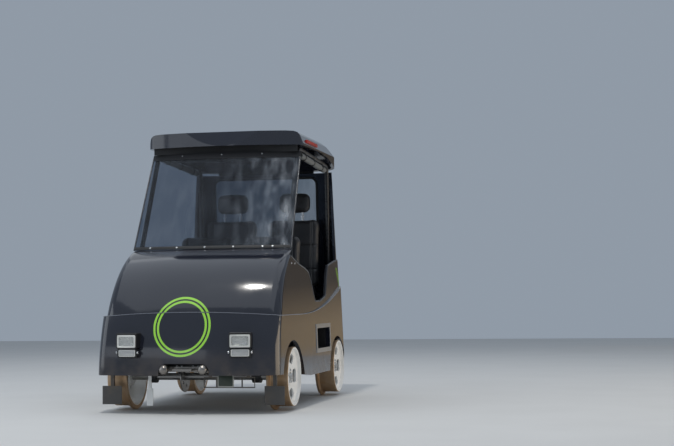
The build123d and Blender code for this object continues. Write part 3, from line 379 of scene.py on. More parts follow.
chassis_paint = metal("chassis_paint", (0.03, 0.03, 0.032), 0.45, 30, metallic=0.0,
                      dirt=(0.16, 0.12, 0.08), share=0.5)
turned_steel = metal("turned_steel", (0.42, 0.41, 0.40), 0.35, 60, (8, 1, 1))
ball_steel = metal("ball_steel", (0.30, 0.28, 0.26), 0.3, 25, share=0.4)
grey_paint = metal("grey_paint", (0.09, 0.085, 0.08), 0.5, 25, metallic=0.0,
                   dirt=(0.22, 0.16, 0.10), share=0.6)
pale_alloy = metal("pale_alloy", (0.55, 0.55, 0.54), 0.35, 80, (1, 6, 1))
bright_zinc = metal("bright_zinc", (0.70, 0.71, 0.72), 0.28, 120, share=0.1)
tube_paint = metal("tube_paint", (0.015, 0.015, 0.017), 0.3, 40, metallic=0.0, share=0.1)
dark_moulding = moulding("dark_moulding", (0.022, 0.022, 0.024), 0.55)
lining = moulding("lining", (0.012, 0.012, 0.013), 0.7)
black_rubber = moulding("black_rubber", (0.012, 0.012, 0.013), 0.62, 250.0)
edge_trim = moulding("edge_trim", (0.035, 0.038, 0.045), 0.25, 300.0, 0.0001)
housing_black = moulding("housing_black", (0.014, 0.014, 0.015), 0.35, 500.0, 0.0002)
sensor_white = moulding("sensor_white", (0.78, 0.78, 0.75), 0.4)

finish_nodes(chassis_paint, "chassis_frame", "axle_boxes")
finish_nodes(ball_steel, "front_coupler", "rear_coupler")
finish_nodes(turned_steel, "front_axle", "rear_axle", "brake_disc", "chain_wheel")
finish_nodes(grey_paint, "wheel_guards", "underrun_lattice")
finish_nodes(dark_moulding, "header_strip", "dashboard", "front_seat_plinth", "rear_seat_plinth",
             "engine_block")
finish_nodes(lining, "step_wells")
finish_nodes(tube_paint, "canopy_frame")
finish_nodes(pale_alloy, "step_frames", "floor_pan")
finish_nodes(sensor_white, "sensor_bar")
finish_nodes(housing_black, "lamp_housings")
print("metals and mouldings set")

# %% [markdown]
# ### Wheels
# The wheels are painted pale grey, but the tread and the flange have been run
# bright and carry an orange bloom of rust. The distance from each axle tells
# paint from tread. Stones have chipped the paint, and brown dust has gathered in
# the dish.

# %% Wheel paint with a bare tread
AXLES = {"front": (-0.710, 0.231), "rear": (0.847, 0.231)}
BARE_FROM = 0.203


def wheel_paint(name, centre):
    """Pale dusty paint on the disc, and rust from the tread outwards."""
    made, shader = start(name, (0.6, 0.59, 0.56), 0.5)
    _, y, z = axes(made)
    bare = steps(distance(y, z, centre), BARE_FROM - 0.002, BARE_FROM)
    dust = steps(clouds(made, 12.0, 6), 0.5, 0.8, 0.0, 0.35)
    painted = two_colours(dust, (0.93, 0.92, 0.89), (0.48, 0.41, 0.32))
    tread = two_colours(clouds(made, 20.0, 5), (0.45, 0.27, 0.13), (0.55, 0.42, 0.30))
    feed(shader, Base_Color=two_colours(bare, painted, tread), Metallic=times(bare, 0.8),
         Roughness=steps(clouds(made, 16.0, 4), 0.3, 0.8, 0.35, 0.65))
    rough_skin(shader, clouds(made, 90.0, 3), 0.0005, 0.4)
    return made


for place, centre in AXLES.items():
    finish_nodes(wheel_paint(f"{place}_wheel_paint", centre),
                 f"{place}_wheel_left", f"{place}_wheel_right")

# %% [markdown]
# ## Helpers for pieces
# The small parts of the car are nearly all one of four things: a rounded
# outline stacked in layers, an outline carried along a path, a round part turned
# about an axis, or something that repeats. The first three are rings of points
# with faces between them, so one helper closes the faces for all of them.

# %% Rings, outlines and paths
LEFT, BACK, UP = Vector((1, 0, 0)), Vector((0, 1, 0)), Vector((0, 0, 1))
SIDES = (("left", 1), ("right", -1))


def skin(shape, rings, joined=False):
    """Faces between rings of points; both ends are filled, or the last ring meets the first."""
    loops = [[shape.verts.new(p) for p in ring] for ring in rings]
    count = len(loops[0])
    for one, other in list(zip(loops, loops[1:])) + ([(loops[-1], loops[0])] if joined else []):
        for i in range(count):
            j = (i + 1) % count
            shape.faces.new((one[i], one[j], other[j], other[i]))
    if not joined:
        shape.faces.new(loops[0][::-1])
        shape.faces.new(loops[-1])


def rounded(width, height, corner, parts=4):
    """Outline of a rectangle with round corners."""
    points = []
    for quarter, (a, b) in enumerate(((1, 1), (-1, 1), (-1, -1), (1, -1))):
        for k in range(parts + 1):
            turn = math.radians(90 * (quarter + k / parts))
            points.append((a * (width / 2 - corner) + corner * math.cos(turn),
                           b * (height / 2 - corner) + corner * math.sin(turn)))
    return points


def circle(radius, sides=32):
    """Outline of a circle."""
    turns = [math.tau * k / sides for k in range(sides)]
    return [(radius * math.cos(turn), radius * math.sin(turn)) for turn in turns]


def layered(shape, seat, layers, joined=False):
    """Stacks outlines on a seat, which is a place with the directions across, up and out."""
    place, across, rise, out = seat
    skin(shape, [[place + across * a + rise * b + out * height for a, b in outline]
                 for outline, height in layers], joined)


def stacked(shape, seat, rows, joined=False, sides=32):
    """Stacks outlines on a seat from rows in millimetres.

    A row ends in its level. Before that come the width, height and corner of a
    rounded rectangle, or only the radius of a circle.
    """
    layers = []
    for *size, level in rows:
        size = [value / 1000 for value in size]
        layers.append((rounded(*size) if len(size) == 3 else circle(*size, sides), level / 1000))
    layered(shape, seat, layers, joined)


def carried(shape, path, outline, side, closed=False):
    """Carries an outline along a path; side is the direction of its first axis."""
    points = [Vector(p) for p in path]
    rings = []
    for i, point in enumerate(points):
        before = points[i - 1] if closed or i else points[0]
        after = points[(i + 1) % len(points)] if closed or i < len(points) - 1 else points[-1]
        along = (after - before).normalized()
        first = (side - along * side.dot(along)).normalized()
        second = along.cross(first)
        rings.append([point + first * a + second * b for a, b in outline])
    skin(shape, rings, closed)


def mesh_of(name, shape):
    """A mesh from worked geometry."""
    mesh = bpy.data.meshes.new(name)
    shape.to_mesh(mesh)
    shape.free()
    return mesh


def applied(thing):
    """A plain mesh of an object with its modifiers in it; the object then loses them."""
    graph = bpy.context.evaluated_depsgraph_get()
    made = bpy.data.meshes.new_from_object(thing.evaluated_get(graph), depsgraph=graph)
    thing.modifiers.clear()
    return made


def hand_over(name, mesh, body, sharp):
    """A finished mesh becomes a piece that rides on a body."""
    mesh.set_sharp_from_angle(angle=math.radians(sharp))
    piece = new_object(name, mesh)
    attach(piece, body)
    return piece


def keep(name, shape, material, body="car", sharp=35):
    """Turns worked geometry into a smooth finished piece."""
    bmesh.ops.recalc_face_normals(shape, faces=shape.faces)
    mesh = mesh_of(name, shape)
    mesh.polygons.foreach_set("use_smooth", [True] * len(mesh.polygons))
    mesh.materials.append(material)
    return hand_over(name, mesh, body, sharp)


def stack_piece(name, seats, rows, material, slot, body="car", sharp=35, **how):
    """A piece of equal stacks, one on each seat."""
    shape = bmesh.new()
    for seat in seats:
        stacked(shape, seat, rows, **how)
    return keep(name, shape, material, body, sharp)


def ray_on(*names):
    """A ray tester for CAD nodes.

    It gives the place met, or None, and the normal there, towards the ray.
    """
    shape = bmesh.new()
    for name in names:
        shape.from_mesh(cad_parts[name].data)
    tree = BVHTree.FromBMesh(shape)
    shape.free()

    def meet(begin, direction):
        direction = Vector(direction).normalized()
        place, normal, _, _ = tree.ray_cast(Vector(begin), direction)
        return place, (normal if place is None or normal.dot(direction) < 0 else -normal)
    return meet


def seats_on(meet, begins, direction, across, off=0.0):
    """Seats for small parts where rays meet a node; off is their height over it."""
    hits = [meet(begin, direction) for begin in begins]
    return [(place + normal * off, normal, across) for place, normal in hits]


def highest(holds, low, high, halvings):
    """Highest level at which a test holds, found by halving."""
    for _ in range(halvings):
        middle = (low + high) / 2
        low, high = (middle, high) if holds(middle) else (low, middle)
    return low


def flat_face(node, side, facing):
    """Seat on a node's flat outer face, on one side of the car.

    The face looks forwards where facing is -1 and back where it is 1.
    """
    total, place, out = 0.0, Vector(), Vector()
    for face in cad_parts[node].data.polygons:
        if face.center.x * side > 0 and face.normal.y * facing > 0.97:
            total += face.area
            place += face.center * face.area
            out += face.normal * face.area
    out = out.normalized()
    return place / total, UP.cross(out).normalized(), UP, out


# %% [markdown]
# ## Trees for what repeats
# A screw is drawn once and then set on many points. Each point carries the
# direction that it faces, so screws on a bent sheet stand square to it. The same
# is done for small rounded plates, which are lamp cells, ribs of a mat, louvres
# and switches, and for stitches, which follow lines over a cushion.

# %% Helpers for Geometry Nodes
def new_tree(name, **sizes):
    """An empty tree with geometry in and out, and inputs for its sizes and its material."""
    tree = bpy.data.node_groups.new(name, "GeometryNodeTree")
    tree.is_modifier = True
    tree.interface.new_socket("Geometry", in_out="INPUT", socket_type="NodeSocketGeometry")
    for label, value in sizes.items():
        kind = "Int" if isinstance(value, int) else "Float"
        socket = tree.interface.new_socket(label, in_out="INPUT", socket_type="NodeSocket" + kind)
        socket.default_value = value
    tree.interface.new_socket("Material", in_out="INPUT", socket_type="NodeSocketMaterial")
    tree.interface.new_socket("Geometry", in_out="OUTPUT", socket_type="NodeSocketGeometry")
    return tree, tree.nodes.new("NodeGroupInput").outputs


def grow(tree, kind, settings=(), **inputs):
    """Adds a node, sets its menus, and sets or links its inputs by name; returns its outputs."""
    node = tree.nodes.new(kind)
    for key, value in dict(settings).items():
        setattr(node, key, value)
    for key, value in inputs.items():
        socket = next(s for s in node.inputs if s.name == key.replace("_", " ") and s.enabled)
        for item in value if isinstance(value, list) else [value]:
            if isinstance(item, bpy.types.NodeSocket):
                tree.links.new(item, socket)
            else:
                socket.default_value = item
    return node.outputs


def pushed(tree, mesh, faces, amount):
    """Pushes faces out by an amount; outputs the mesh and its moved top."""
    return grow(tree, "GeometryNodeExtrudeMesh", Mesh=mesh, Selection=faces, Offset_Scale=amount)


def turned_to(tree, axis, vector, **inputs):
    """Rotation that points an axis along a vector."""
    settings = {"axis": axis, **({"pivot_axis": "Z"} if inputs else {})}
    return grow(tree, "FunctionNodeAlignRotationToVector", settings, Vector=vector, **inputs)[0]


def stored(tree, name):
    """A vector that the points carry."""
    return grow(tree, "GeometryNodeInputNamedAttribute", {"data_type": "FLOAT_VECTOR"}, Name=name)[0]


def end_tree(tree, given, instance, points=None, rotation=None, **inputs):
    """Sets the instance on points, makes it real, gives it its material and closes the tree."""
    if rotation is None:
        facing = turned_to(tree, "Z", stored(tree, "facing"))
        rotation = turned_to(tree, "X", stored(tree, "across"), Rotation=facing)
    many = grow(tree, "GeometryNodeInstanceOnPoints", Points=points or given["Geometry"],
                Instance=instance, Rotation=rotation, **inputs)[0]
    real = grow(tree, "GeometryNodeRealizeInstances", Geometry=many)[0]
    dressed = grow(tree, "GeometryNodeSetMaterial", Geometry=real, Material=given["Material"])[0]
    tree.links.new(dressed, tree.nodes.new("NodeGroupOutput").inputs[0])


def run_tree(name, tree, mesh, slot, body="car", **sizes):
    """Runs a tree on a mesh and keeps the result as a plain mesh that rides on a body."""
    seed = new_object(name + "_seed", mesh)
    modifier = seed.modifiers.new("tree", "NODES")
    modifier.node_group = tree
    for item in tree.interface.items_tree:
        if item.in_out == "INPUT" and item.name in sizes:
            modifier[item.identifier] = sizes[item.name]
    made = applied(seed)
    bpy.data.objects.remove(seed)
    made.name = name
    print(name, len(made.polygons), "faces")
    return hand_over(name, made, body, 35)


def set_on(name, tree, seats, slot, body="car", **sizes):
    """Runs a tree on seats; its points carry the direction they face and the one across."""
    mesh = bpy.data.meshes.new("points")
    mesh.from_pydata([tuple(place) for place, _, _ in seats], [], [])
    for label, index in (("facing", 1), ("across", 2)):
        values = mesh.attributes.new(label, "FLOAT_VECTOR", "POINT")
        values.data.foreach_set("vector", [c for seat in seats for c in seat[index]])
    return run_tree(name, tree, mesh, slot, body, **sizes)


# %% The tree of screws
# A wide low washer, and on it a tapered head whose socket is sunk.
WASHER_DEPTH = 0.0012
screw_tree, given = new_tree("screws", Radius=0.005, Height=0.003, Sides=16, Washer=1.6)
radius = given["Radius"]
washer = grow(screw_tree, "GeometryNodeMeshCone", Vertices=24, Radius_Top=radius,
              Radius_Bottom=times(radius, given["Washer"]), Depth=WASHER_DEPTH)
head = grow(screw_tree, "GeometryNodeMeshCone", Vertices=given["Sides"], Radius_Bottom=radius,
            Radius_Top=times(radius, 0.84), Depth=given["Height"])
ledge = pushed(screw_tree, head["Mesh"], head["Top"], 0.0)
hole = grow(screw_tree, "GeometryNodeScaleElements", Geometry=ledge["Mesh"],
            Selection=ledge["Top"], Scale=0.55)
sunk = pushed(screw_tree, hole[0], ledge["Top"], -WASHER_DEPTH)
both = grow(screw_tree, "GeometryNodeJoinGeometry", Geometry=[washer["Mesh"], sunk["Mesh"]])
end_tree(screw_tree, given, both[0])


def screws(name, seats, radius, height, slot, sides=20, washer=1.5, body="car"):
    """Zinc screws with washers, one on each seat."""
    set_on(name, screw_tree, seats, slot, body, Radius=radius, Height=height, Sides=sides,
           Washer=washer, Material=bright_zinc)


# %% The tree of small rounded plates
# A filled outline is raised, its top is drawn in a little, and its foot is closed.
plate_tree, given = new_tree("plates", Width=0.02, Height=0.02, Corner=0.003, Depth=0.003)
edge = grow(plate_tree, "GeometryNodeCurvePrimitiveQuadrilateral", Width=given["Width"],
            Height=given["Height"])
edge = grow(plate_tree, "GeometryNodeFilletCurve", {"mode": "POLY"}, Curve=edge[0], Count=3,
            Radius=given["Corner"])
sheet_face = grow(plate_tree, "GeometryNodeFillCurve", {"mode": "NGONS"}, Curve=edge[0])[0]
raised = grow(plate_tree, "GeometryNodeExtrudeMesh", Mesh=sheet_face, Offset_Scale=given["Depth"])
crown = pushed(plate_tree, raised["Mesh"], raised["Top"], 0.001)
drawn_in = grow(plate_tree, "GeometryNodeScaleElements", Geometry=crown["Mesh"],
                Selection=crown["Top"], Scale=0.9)
foot = grow(plate_tree, "GeometryNodeFlipFaces", Mesh=sheet_face)
whole = grow(plate_tree, "GeometryNodeJoinGeometry", Geometry=[drawn_in[0], foot[0]])
whole = grow(plate_tree, "GeometryNodeMergeByDistance", Geometry=whole[0], Distance=0.00001)
end_tree(plate_tree, given, whole[0])


def small_plates(name, seats, size, material, slot):
    """Rounded plates of that width, height, corner and depth, one on each seat."""
    sizes = dict(zip(("Width", "Height", "Corner", "Depth"), size))
    set_on(name, plate_tree, seats, slot, Material=material, **sizes)


# %% The tree of stitches
# Lines become points at an even pitch, and each gets a drop that is stretched along the line.
stitch_tree, given = new_tree("stitches", Length=0.004, Pitch=0.0065, Thickness=0.0012)
line = grow(stitch_tree, "GeometryNodeMeshToCurve", Mesh=given["Geometry"])
dots = grow(stitch_tree, "GeometryNodeCurveToPoints", {"mode": "LENGTH"}, Curve=line[0],
            Length=given["Pitch"])
along = turned_to(stitch_tree, "Z", dots["Tangent"])
drop = grow(stitch_tree, "GeometryNodeMeshUVSphere", Segments=6, Rings=4, Radius=0.5)
stretch = add_node(given["Length"], "CombineXYZ", 0,
                   (given["Thickness"], given["Thickness"], given["Length"]))
end_tree(stitch_tree, given, drop[0], dots["Points"], along, Scale=stretch)
print("three trees built")

# %% [markdown]
# ## Windscreen edges
# The bent sheet is held along its foot by a rubber strip with six snap rivets,
# and its long edges are capped with a thin gloss trim. The strip and the caps
# follow the sheet, so their paths are read from it with rays. The header above
# it is held by three screws.

# %% Foot strip, edge caps, rivets and header screws
screen_at = ray_on("windscreen")
FOOT_HALF = 0.582
FOOT_LOW, FOOT_HIGH = 1.134, 1.157
FOOT_SUNK = 0.0008
FOOT_PARTS = 40
RIVETS_X = (-0.455, -0.245, -0.032, 0.178, 0.387, 0.458)
RIVET_Z = 1.147
HEADER_SCREWS_X = (-0.325, -0.010, 0.293)
HEADER_SCREW_Z = 1.852
CAP_LOW_X, CAP_HIGH_X = 0.5885, 0.5705
CAP_LOW_Z, CAP_RISE = 1.136, 0.690
CAP_PARTS = 30


def on_screen(x, z):
    """Place and normal on the windscreen, seen from the front."""
    return screen_at((x, -2, z), (0, 1, 0))


shape = bmesh.new()
rings = []
for k in range(FOOT_PARTS + 1):
    ring = []
    for z, off in ((FOOT_LOW, 0.0), (FOOT_LOW, 0.003), (FOOT_LOW + 0.004, 0.0045),
                   (FOOT_HIGH - 0.004, 0.0045), (FOOT_HIGH, 0.002), (FOOT_HIGH, 0.0)):
        place, normal = on_screen(-FOOT_HALF + 2 * FOOT_HALF * k / FOOT_PARTS, z)
        ring.append(place + normal * (off - FOOT_SUNK))
    rings.append(ring)
skin(shape, rings)
keep("windscreen_foot_strip", shape, black_rubber)
seats = seats_on(screen_at, [(x, -2, RIVET_Z) for x in RIVETS_X], BACK, LEFT, 0.0035)
screws("windscreen_rivets", seats, 0.0045, 0.0030, "header_trim")
begins = [(x, -2, HEADER_SCREW_Z) for x in HEADER_SCREWS_X]
seats = seats_on(ray_on("header_strip"), begins, BACK, LEFT)
screws("header_screws", seats, 0.0042, 0.0026, "header_trim")

shape = bmesh.new()
for _, side in SIDES:
    path = []
    for k in range(CAP_PARTS + 1):
        share = k / CAP_PARTS
        place, normal = on_screen(side * (CAP_LOW_X + (CAP_HIGH_X - CAP_LOW_X) * share),
                                  CAP_LOW_Z + CAP_RISE * share)
        path.append(place - normal * 0.003)
    carried(shape, path, rounded(0.010, 0.013, 0.004), LEFT)
keep("windscreen_edge_caps", shape, edge_trim)

# %% [markdown]
# ## Entry edges
# The top edge of each side panel is open to hands and elbows, so a soft bead
# is pushed over it all the way from the bonnet down the entry and up again. Rays
# from the side find the edge: each step halves the height between a ray that
# meets the panel and one that passes over it. Two screws hold the front corner.

# %% Beads on the side panels and their screws
BEAD_FROM, BEAD_TO = -0.592, 1.040
BEAD_PARTS = 150
BEAD_INSET = 0.0095
NEAR_PANEL_X = 0.55
CORNER_SCREWS = ((-0.587, 1.023), (-0.487, 1.023))


def edge_above(panel_at, side, y):
    """Highest place of the panel's outer face at that y."""
    def ray(z):
        return panel_at((side * 2, y, z), (-side, 0, 0))[0]

    def on_panel(z):
        return ray(z) is not None and ray(z).x * side > NEAR_PANEL_X

    level = highest(on_panel, 0.60, 1.15, 14)
    return Vector((ray(level - 0.008).x - side * BEAD_INSET, y, level))


shape = bmesh.new()
corner_seats = []
for word, side in SIDES:
    panel_at = ray_on(f"side_panel_{word}", f"lower_side_{word}")
    path = [edge_above(panel_at, side, BEAD_FROM + (BEAD_TO - BEAD_FROM) * k / BEAD_PARTS)
            for k in range(BEAD_PARTS + 1)]
    for _ in range(2):
        soft = [(a + b * 2 + c) / 4 for a, b, c in zip(path, path[1:], path[2:])]
        path = path[:1] + soft + path[-1:]
    carried(shape, path, rounded(0.023, 0.013, 0.006), LEFT)
    begins = [(side * 2, y, z) for y, z in CORNER_SCREWS]
    corner_seats += seats_on(panel_at, begins, (-side, 0, 0), BACK)
keep("entry_edge_beads", shape, edge_trim)
screws("side_panel_screws", corner_seats, 0.0045, 0.0030, "header_trim")

# %% [markdown]
# ## Crease edge
# Where the lower panels end at the crease, their rounded top edge catches a
# thin highlight round the car. A fine gloss bead in pale grey follows that edge,
# and its colour is a painted highlight. The rays look inwards all the way round:
# over the front, round the corner and back.

# %% Bead on the crease
# The pale grey of this bead is a painted highlight of the rounded crease edge.
painted_crease_highlight = moulding("painted_crease_highlight", (0.16, 0.17, 0.20), 0.22, 400.0, 0.0001)
panel_at = ray_on("lower_front_panel", "lower_side_left", "lower_side_right")
CORNER = (0.555, -1.020)
CREASE_HIGHLIGHT_R = 0.0026
NOSE_HALF, NOSE_PARTS = 0.56, 24
CORNER_PARTS = 12
SIDE_FROM_Y, SIDE_LENGTH, SIDE_PARTS = -1.0, 1.98, 66


def crease_at(begin, direction, far):
    """Highest place that a level ray meets on the near face; far is the longest way to it."""
    def ray(z):
        return panel_at((*begin, z), (*direction, 0))

    def near(z):
        place, _ = ray(z)
        return place is not None and (place.xy - Vector(begin)).length < far

    level = highest(near, 0.60, 0.90, 13)
    place, normal = ray(level - 0.0025)
    return Vector((place.x, place.y, level - 0.0012)) + Vector((normal.x, normal.y, 0)) * 0.0002


half = [crease_at((NOSE_HALF * k / NOSE_PARTS, -2), (0, 1), 1.1) for k in range(NOSE_PARTS + 1)]
for k in range(1, CORNER_PARTS):
    turn = math.radians(-90 + 90 * k / CORNER_PARTS)
    way = (math.cos(turn), math.sin(turn))
    half.append(crease_at((CORNER[0] + way[0], CORNER[1] + way[1]), (-way[0], -way[1]), 0.97))
half += [crease_at((1.5, SIDE_FROM_Y + SIDE_LENGTH * k / SIDE_PARTS), (-1, 0), 0.95)
         for k in range(SIDE_PARTS + 1)]
path = [Vector((-p.x, p.y, p.z)) for p in half[:0:-1]] + half
shape = bmesh.new()
rings = []
for before, point, after in zip(path[:1] + path, path, path[1:] + path[-1:]):
    along = (after - before).normalized()
    first = along.cross(UP).normalized()
    second = first.cross(along)
    rings.append([point + first * a + second * b for a, b in circle(CREASE_HIGHLIGHT_R, 10)])
skin(shape, rings)
keep("crease_highlight_bead", shape, painted_crease_highlight)

# %% [markdown]
# ## Headlamps
# Each headlamp is a pale frame round a hollow bright reflector, behind a cover
# with fine upright flutes. The glow seen by day is only the reflector, so it is
# modelled as a real dish and the cover lets light through. The pieces are
# stacked on the lamp's own flat face, which looks a little outwards.

# %% Lamp finishes
bezel_pale = moulding("bezel_pale", (0.70, 0.70, 0.66), 0.3, 500.0, 0.0001)
reflector_bright, shader = start("reflector_bright", (0.86, 0.86, 0.84), 0.16, 1.0)
feed(shader, Roughness=steps(clouds(reflector_bright, 70.0), 0.3, 0.7, 0.1, 0.25))
WAVE_PITCH = 0.05


def lens_cover(name, colour, transmission, flute=0.0, direction="X"):
    """A moulded lamp cover, with flutes of that pitch in metres."""
    made, shader = start(name, colour, 0.12, Transmission_Weight=transmission, IOR=1.45)
    haze = clouds(made, 60.0, 4)
    feed(shader, Roughness=steps(haze, 0.3, 0.8, 0.05, 0.25),
         Base_Color=two_colours(haze, shade(colour, 0.86), colour))
    if flute:
        waves = add_node(made, "TexWave", "Fac", (place_on(made), WAVE_PITCH / flute),
                         bands_direction=direction, wave_profile="SIN")
        rough_skin(shader, waves, 0.0008, 0.8)
    return made


cover_clear = lens_cover("cover_clear", (0.92, 0.93, 0.91), 0.75, 0.0060)
led_white = lens_cover("led_white", (0.96, 0.96, 0.93), 0.0)
led_cover = lens_cover("led_cover", (0.96, 0.96, 0.95), 0.6)
red_cover = lens_cover("red_cover", (0.62, 0.012, 0.010), 0.45, 0.0050, "Z")
finish_nodes(lens_cover("marker_cover", (0.75, 0.05, 0.03), 0.35, 0.0040), "side_markers")

# %% Headlamp pieces
seats = [flat_face("headlamps", side, -1) for _, side in SIDES]
bezels = stack_piece("headlamp_frames", seats, (
    (138, 86, 9, -25.5), (138, 86, 9, -4), (133, 81, 8, 0), (118, 66, 8, 0), (112, 60, 7, -4),
    (112, 60, 7, -25.5)), bezel_pale, "lamp_lens", joined=True)
stack_piece("headlamp_reflectors", seats, (
    (16, 10, 4, -20.5), (60, 30, 10, -18.5), (96, 48, 12, -12.5), (111.5, 59.5, 7, -6.5),
    (111.5, 59.5, 7, -24.5)), reflector_bright, "lamp_lens")
stack_piece("headlamp_covers", seats, (
    (111.5, 59.5, 7, -5.5), (111.5, 59.5, 7, -3), (98, 50, 8, -1.6), (60, 28, 8, -0.8),
    (20, 12, 4, -0.6)), cover_clear, "lamp_lens", sharp=60)
stack_piece("headlamp_cover_lips", seats, (
    (90, 44, 7, -2.8), (90, 44, 7, 0), (86, 40, 6, 0), (86, 40, 6, -2.8)), cover_clear,
    "lamp_lens", joined=True)
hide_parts("headlamps")

# %% [markdown]
# Below each headlamp a light bar holds seven bright cells behind a clear
# strip, and a turned knob at each end clamps it to the housing.

# %% Light bars and their knobs
CELL_PITCH = 0.0152
CELL_DEPTH = 0.0082
KNOB_X = 0.0725
seats = [flat_face("led_bars", side, -1) for _, side in SIDES]
cells, ends = [], []
for place, across, rise, out in seats:
    cells += [(place + across * (CELL_PITCH * k) - out * CELL_DEPTH, out, across)
              for k in range(-3, 4)]
    ends += [(place + across * (end * KNOB_X) - out * 0.0100 + rise * 0.004, rise, out, across * end)
             for end in (1, -1)]
tray = stack_piece("light_bar_trays", seats, (
    (124, 47, 8, -15.5), (124, 47, 8, -2), (121, 44, 7, 0), (114, 37, 6, 0), (112, 35, 5, -8),
    (10, 6, 2, -8)), bezel_pale, "led_lens")
stack_piece("light_bar_covers", seats, ((112, 35.5, 5, -3), (112, 35.5, 5, -1.2), (108, 32, 5, -0.5)),
            led_cover, "led_lens")
stack_piece("light_bar_knobs", ends, (
    (6, 0), (6, 2.5), (9.8, 3), (10.4, 5), (10, 8.5), (8, 10.5), (3.5, 11.5)), bright_zinc,
    "led_lens", sides=24)
small_plates("light_bar_cells", cells, (0.0138, 0.0300, 0.0030, 0.0030), led_white, "led_lens")
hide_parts("led_bars")

# %% Tail lamps
seats = [flat_face("tail_lamps", side, 1) for _, side in SIDES]
shells = stack_piece("tail_lamp_shells", seats, (
    (120, 90, 9, -33), (120, 90, 9, -4), (115, 85, 8, -1), (104, 74, 8, -1), (102, 72, 7, -12),
    (12, 8, 2, -12)), housing_black, "lamp_shell")
stack_piece("tail_lamp_covers", seats, (
    (101.5, 71.5, 7, -11), (101.5, 71.5, 7, -3), (94, 64, 9, -0.6), (60, 36, 9, 0), (20, 12, 4, 0)),
    red_cover, "red_lens", sharp=60)
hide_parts("tail_lamps")
print("lamps made")

# %% [markdown]
# ## Wheels
# Five nuts hold each wheel to its hub, round a pressed cap. They turn with the
# wheel, so there is one set of nuts for each wheelset, and it rides on it.

# %% Wheel nuts and hub caps
HUB_FACE_X = 0.6155
NUT_CIRCLE_R = 0.044
NUTS = 5
for word, centre in AXLES.items():
    hubs = [(Vector((side * HUB_FACE_X, *centre)), BACK, UP, LEFT * side) for _, side in SIDES]
    seats = []
    for middle, _, _, out in hubs:
        for k in range(NUTS):
            turn = math.tau * (k / NUTS + 0.05)
            spoke = Vector((0, math.cos(turn), math.sin(turn)))
            seats.append((middle + spoke * NUT_CIRCLE_R, out, spoke))
    stack_piece(f"{word}_hub_caps", hubs, (
        (30, -1), (30, 3), (23.5, 4.5), (22.5, 15), (19.5, 19), (10, 21), (2, 21.3)), pale_alloy,
        "axle_steel", f"{word}_wheelset")
    screws(f"{word}_wheel_nuts", seats, 0.0095, 0.0090, "axle_steel", 6, 1.35, f"{word}_wheelset")

# %% [markdown]
# ## Under the nose
# The coupler plates are bolted to the frame with four bolts each. A blank
# plate with a pale border hangs on the lattice, as the photograph shows, and a
# brake calliper is clamped over the disc. The calliper stays with the car.

# %% Coupler bolts, blank plate and brake calliper
BOLTS_X = (-0.075, -0.040, 0.040, 0.075)
BOLT_Y = 1.120
PLATE_X, PLATE_Z = 0.262, 0.222
DISC_X, CHEEK_OFF = -0.146, 0.0085
CHEEK_YZ = (-0.800, 0.290)
BRIDGE_YZ = (-0.836, 0.302)
seats = []
for word, facing in (("front", -1), ("rear", 1)):
    seats += seats_on(ray_on(f"{word}_coupler"), [(x, facing * BOLT_Y, 2) for x in BOLTS_X], -UP, LEFT)
screws("coupler_bolts", seats, 0.0080, 0.0065, "coupler_paint", 6)

plate_green = moulding("plate_green", (0.045, 0.060, 0.045), 0.45)
plate_border = moulding("plate_border", (0.42, 0.42, 0.38), 0.4)
seat = (Vector((PLATE_X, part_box("underrun_lattice")[0].y, PLATE_Z)), LEFT, UP, -BACK)
stack_piece("blank_plate", [seat], ((106, 78, 8, -1), (106, 78, 8, 1), (104, 76, 7, 1.6)),
            plate_green, "guard_steel")
stack_piece("blank_plate_border", [seat], (
    (114, 86, 10, -1), (114, 86, 10, 2.8), (112, 84, 9, 3.4), (100, 72, 7, 3.4), (98, 70, 6, 1),
    (98, 70, 6, -1)), plate_border, "guard_steel", joined=True)

shape = bmesh.new()
for end in (1, -1):
    stacked(shape, (Vector((DISC_X + end * CHEEK_OFF, *CHEEK_YZ)), BACK, UP, LEFT * end),
            ((56, 74, 14, 0), (56, 74, 14, 10), (48, 66, 12, 14), (20, 26, 8, 15)))
stacked(shape, (Vector((DISC_X, *BRIDGE_YZ)), LEFT, UP, -BACK),
        ((46, 50, 10, -14), (46, 50, 10, 10), (38, 42, 8, 13)))
keep("brake_calliper", shape, grey_paint)
print("underside made")

# %% [markdown]
# ## Seats
# The seats are foam pads in black vinyl. Each one starts as a rounded block a
# little smaller than its space, is remeshed to an even skin, and is then blown
# up as a cloth with pressure in it, so that it crowns in the middle and pulls in
# at its corners. Four pads are simulated and their copies are set in the ten
# places. Grooves for the sewn channels are pressed in afterwards, because the
# remesh would rub them out. No point may leave the space that the pad has.

# %% Seat vinyl and thread
vinyl, shader = start("seat_vinyl", (0.020, 0.020, 0.022), 0.42, Coat_Weight=0.12,
                      Coat_Roughness=0.3)
grain = add_node(vinyl, "TexVoronoi", "Distance", (place_on(vinyl), None, 420.0))
worn = clouds(vinyl, 8.0, 5)
feed(shader, Base_Color=two_colours(worn, (0.016, 0.016, 0.018), (0.036, 0.035, 0.036)),
     Roughness=steps(worn, 0.3, 0.75, 0.34, 0.5))
rough_skin(shader, sums("ADD", grain, times(clouds(vinyl, 35.0, 3), 1.5)), 0.0006, 0.5)
thread_grey = moulding("thread_grey", (0.10, 0.10, 0.11), 0.7, 900.0, 0.0001)
piping_black = moulding("piping_black", (0.010, 0.010, 0.011), 0.35, 600.0, 0.0001)

# %% Blowing up one pad
VOXEL = 0.010
FRAMES = 20
PRESSURE = 4.0
SHRINK, FLATTER = 0.90, 0.92
EDGE_SHARE = 0.32
FREE_SHARE, SOFT_SHARE = 0.94, 0.06


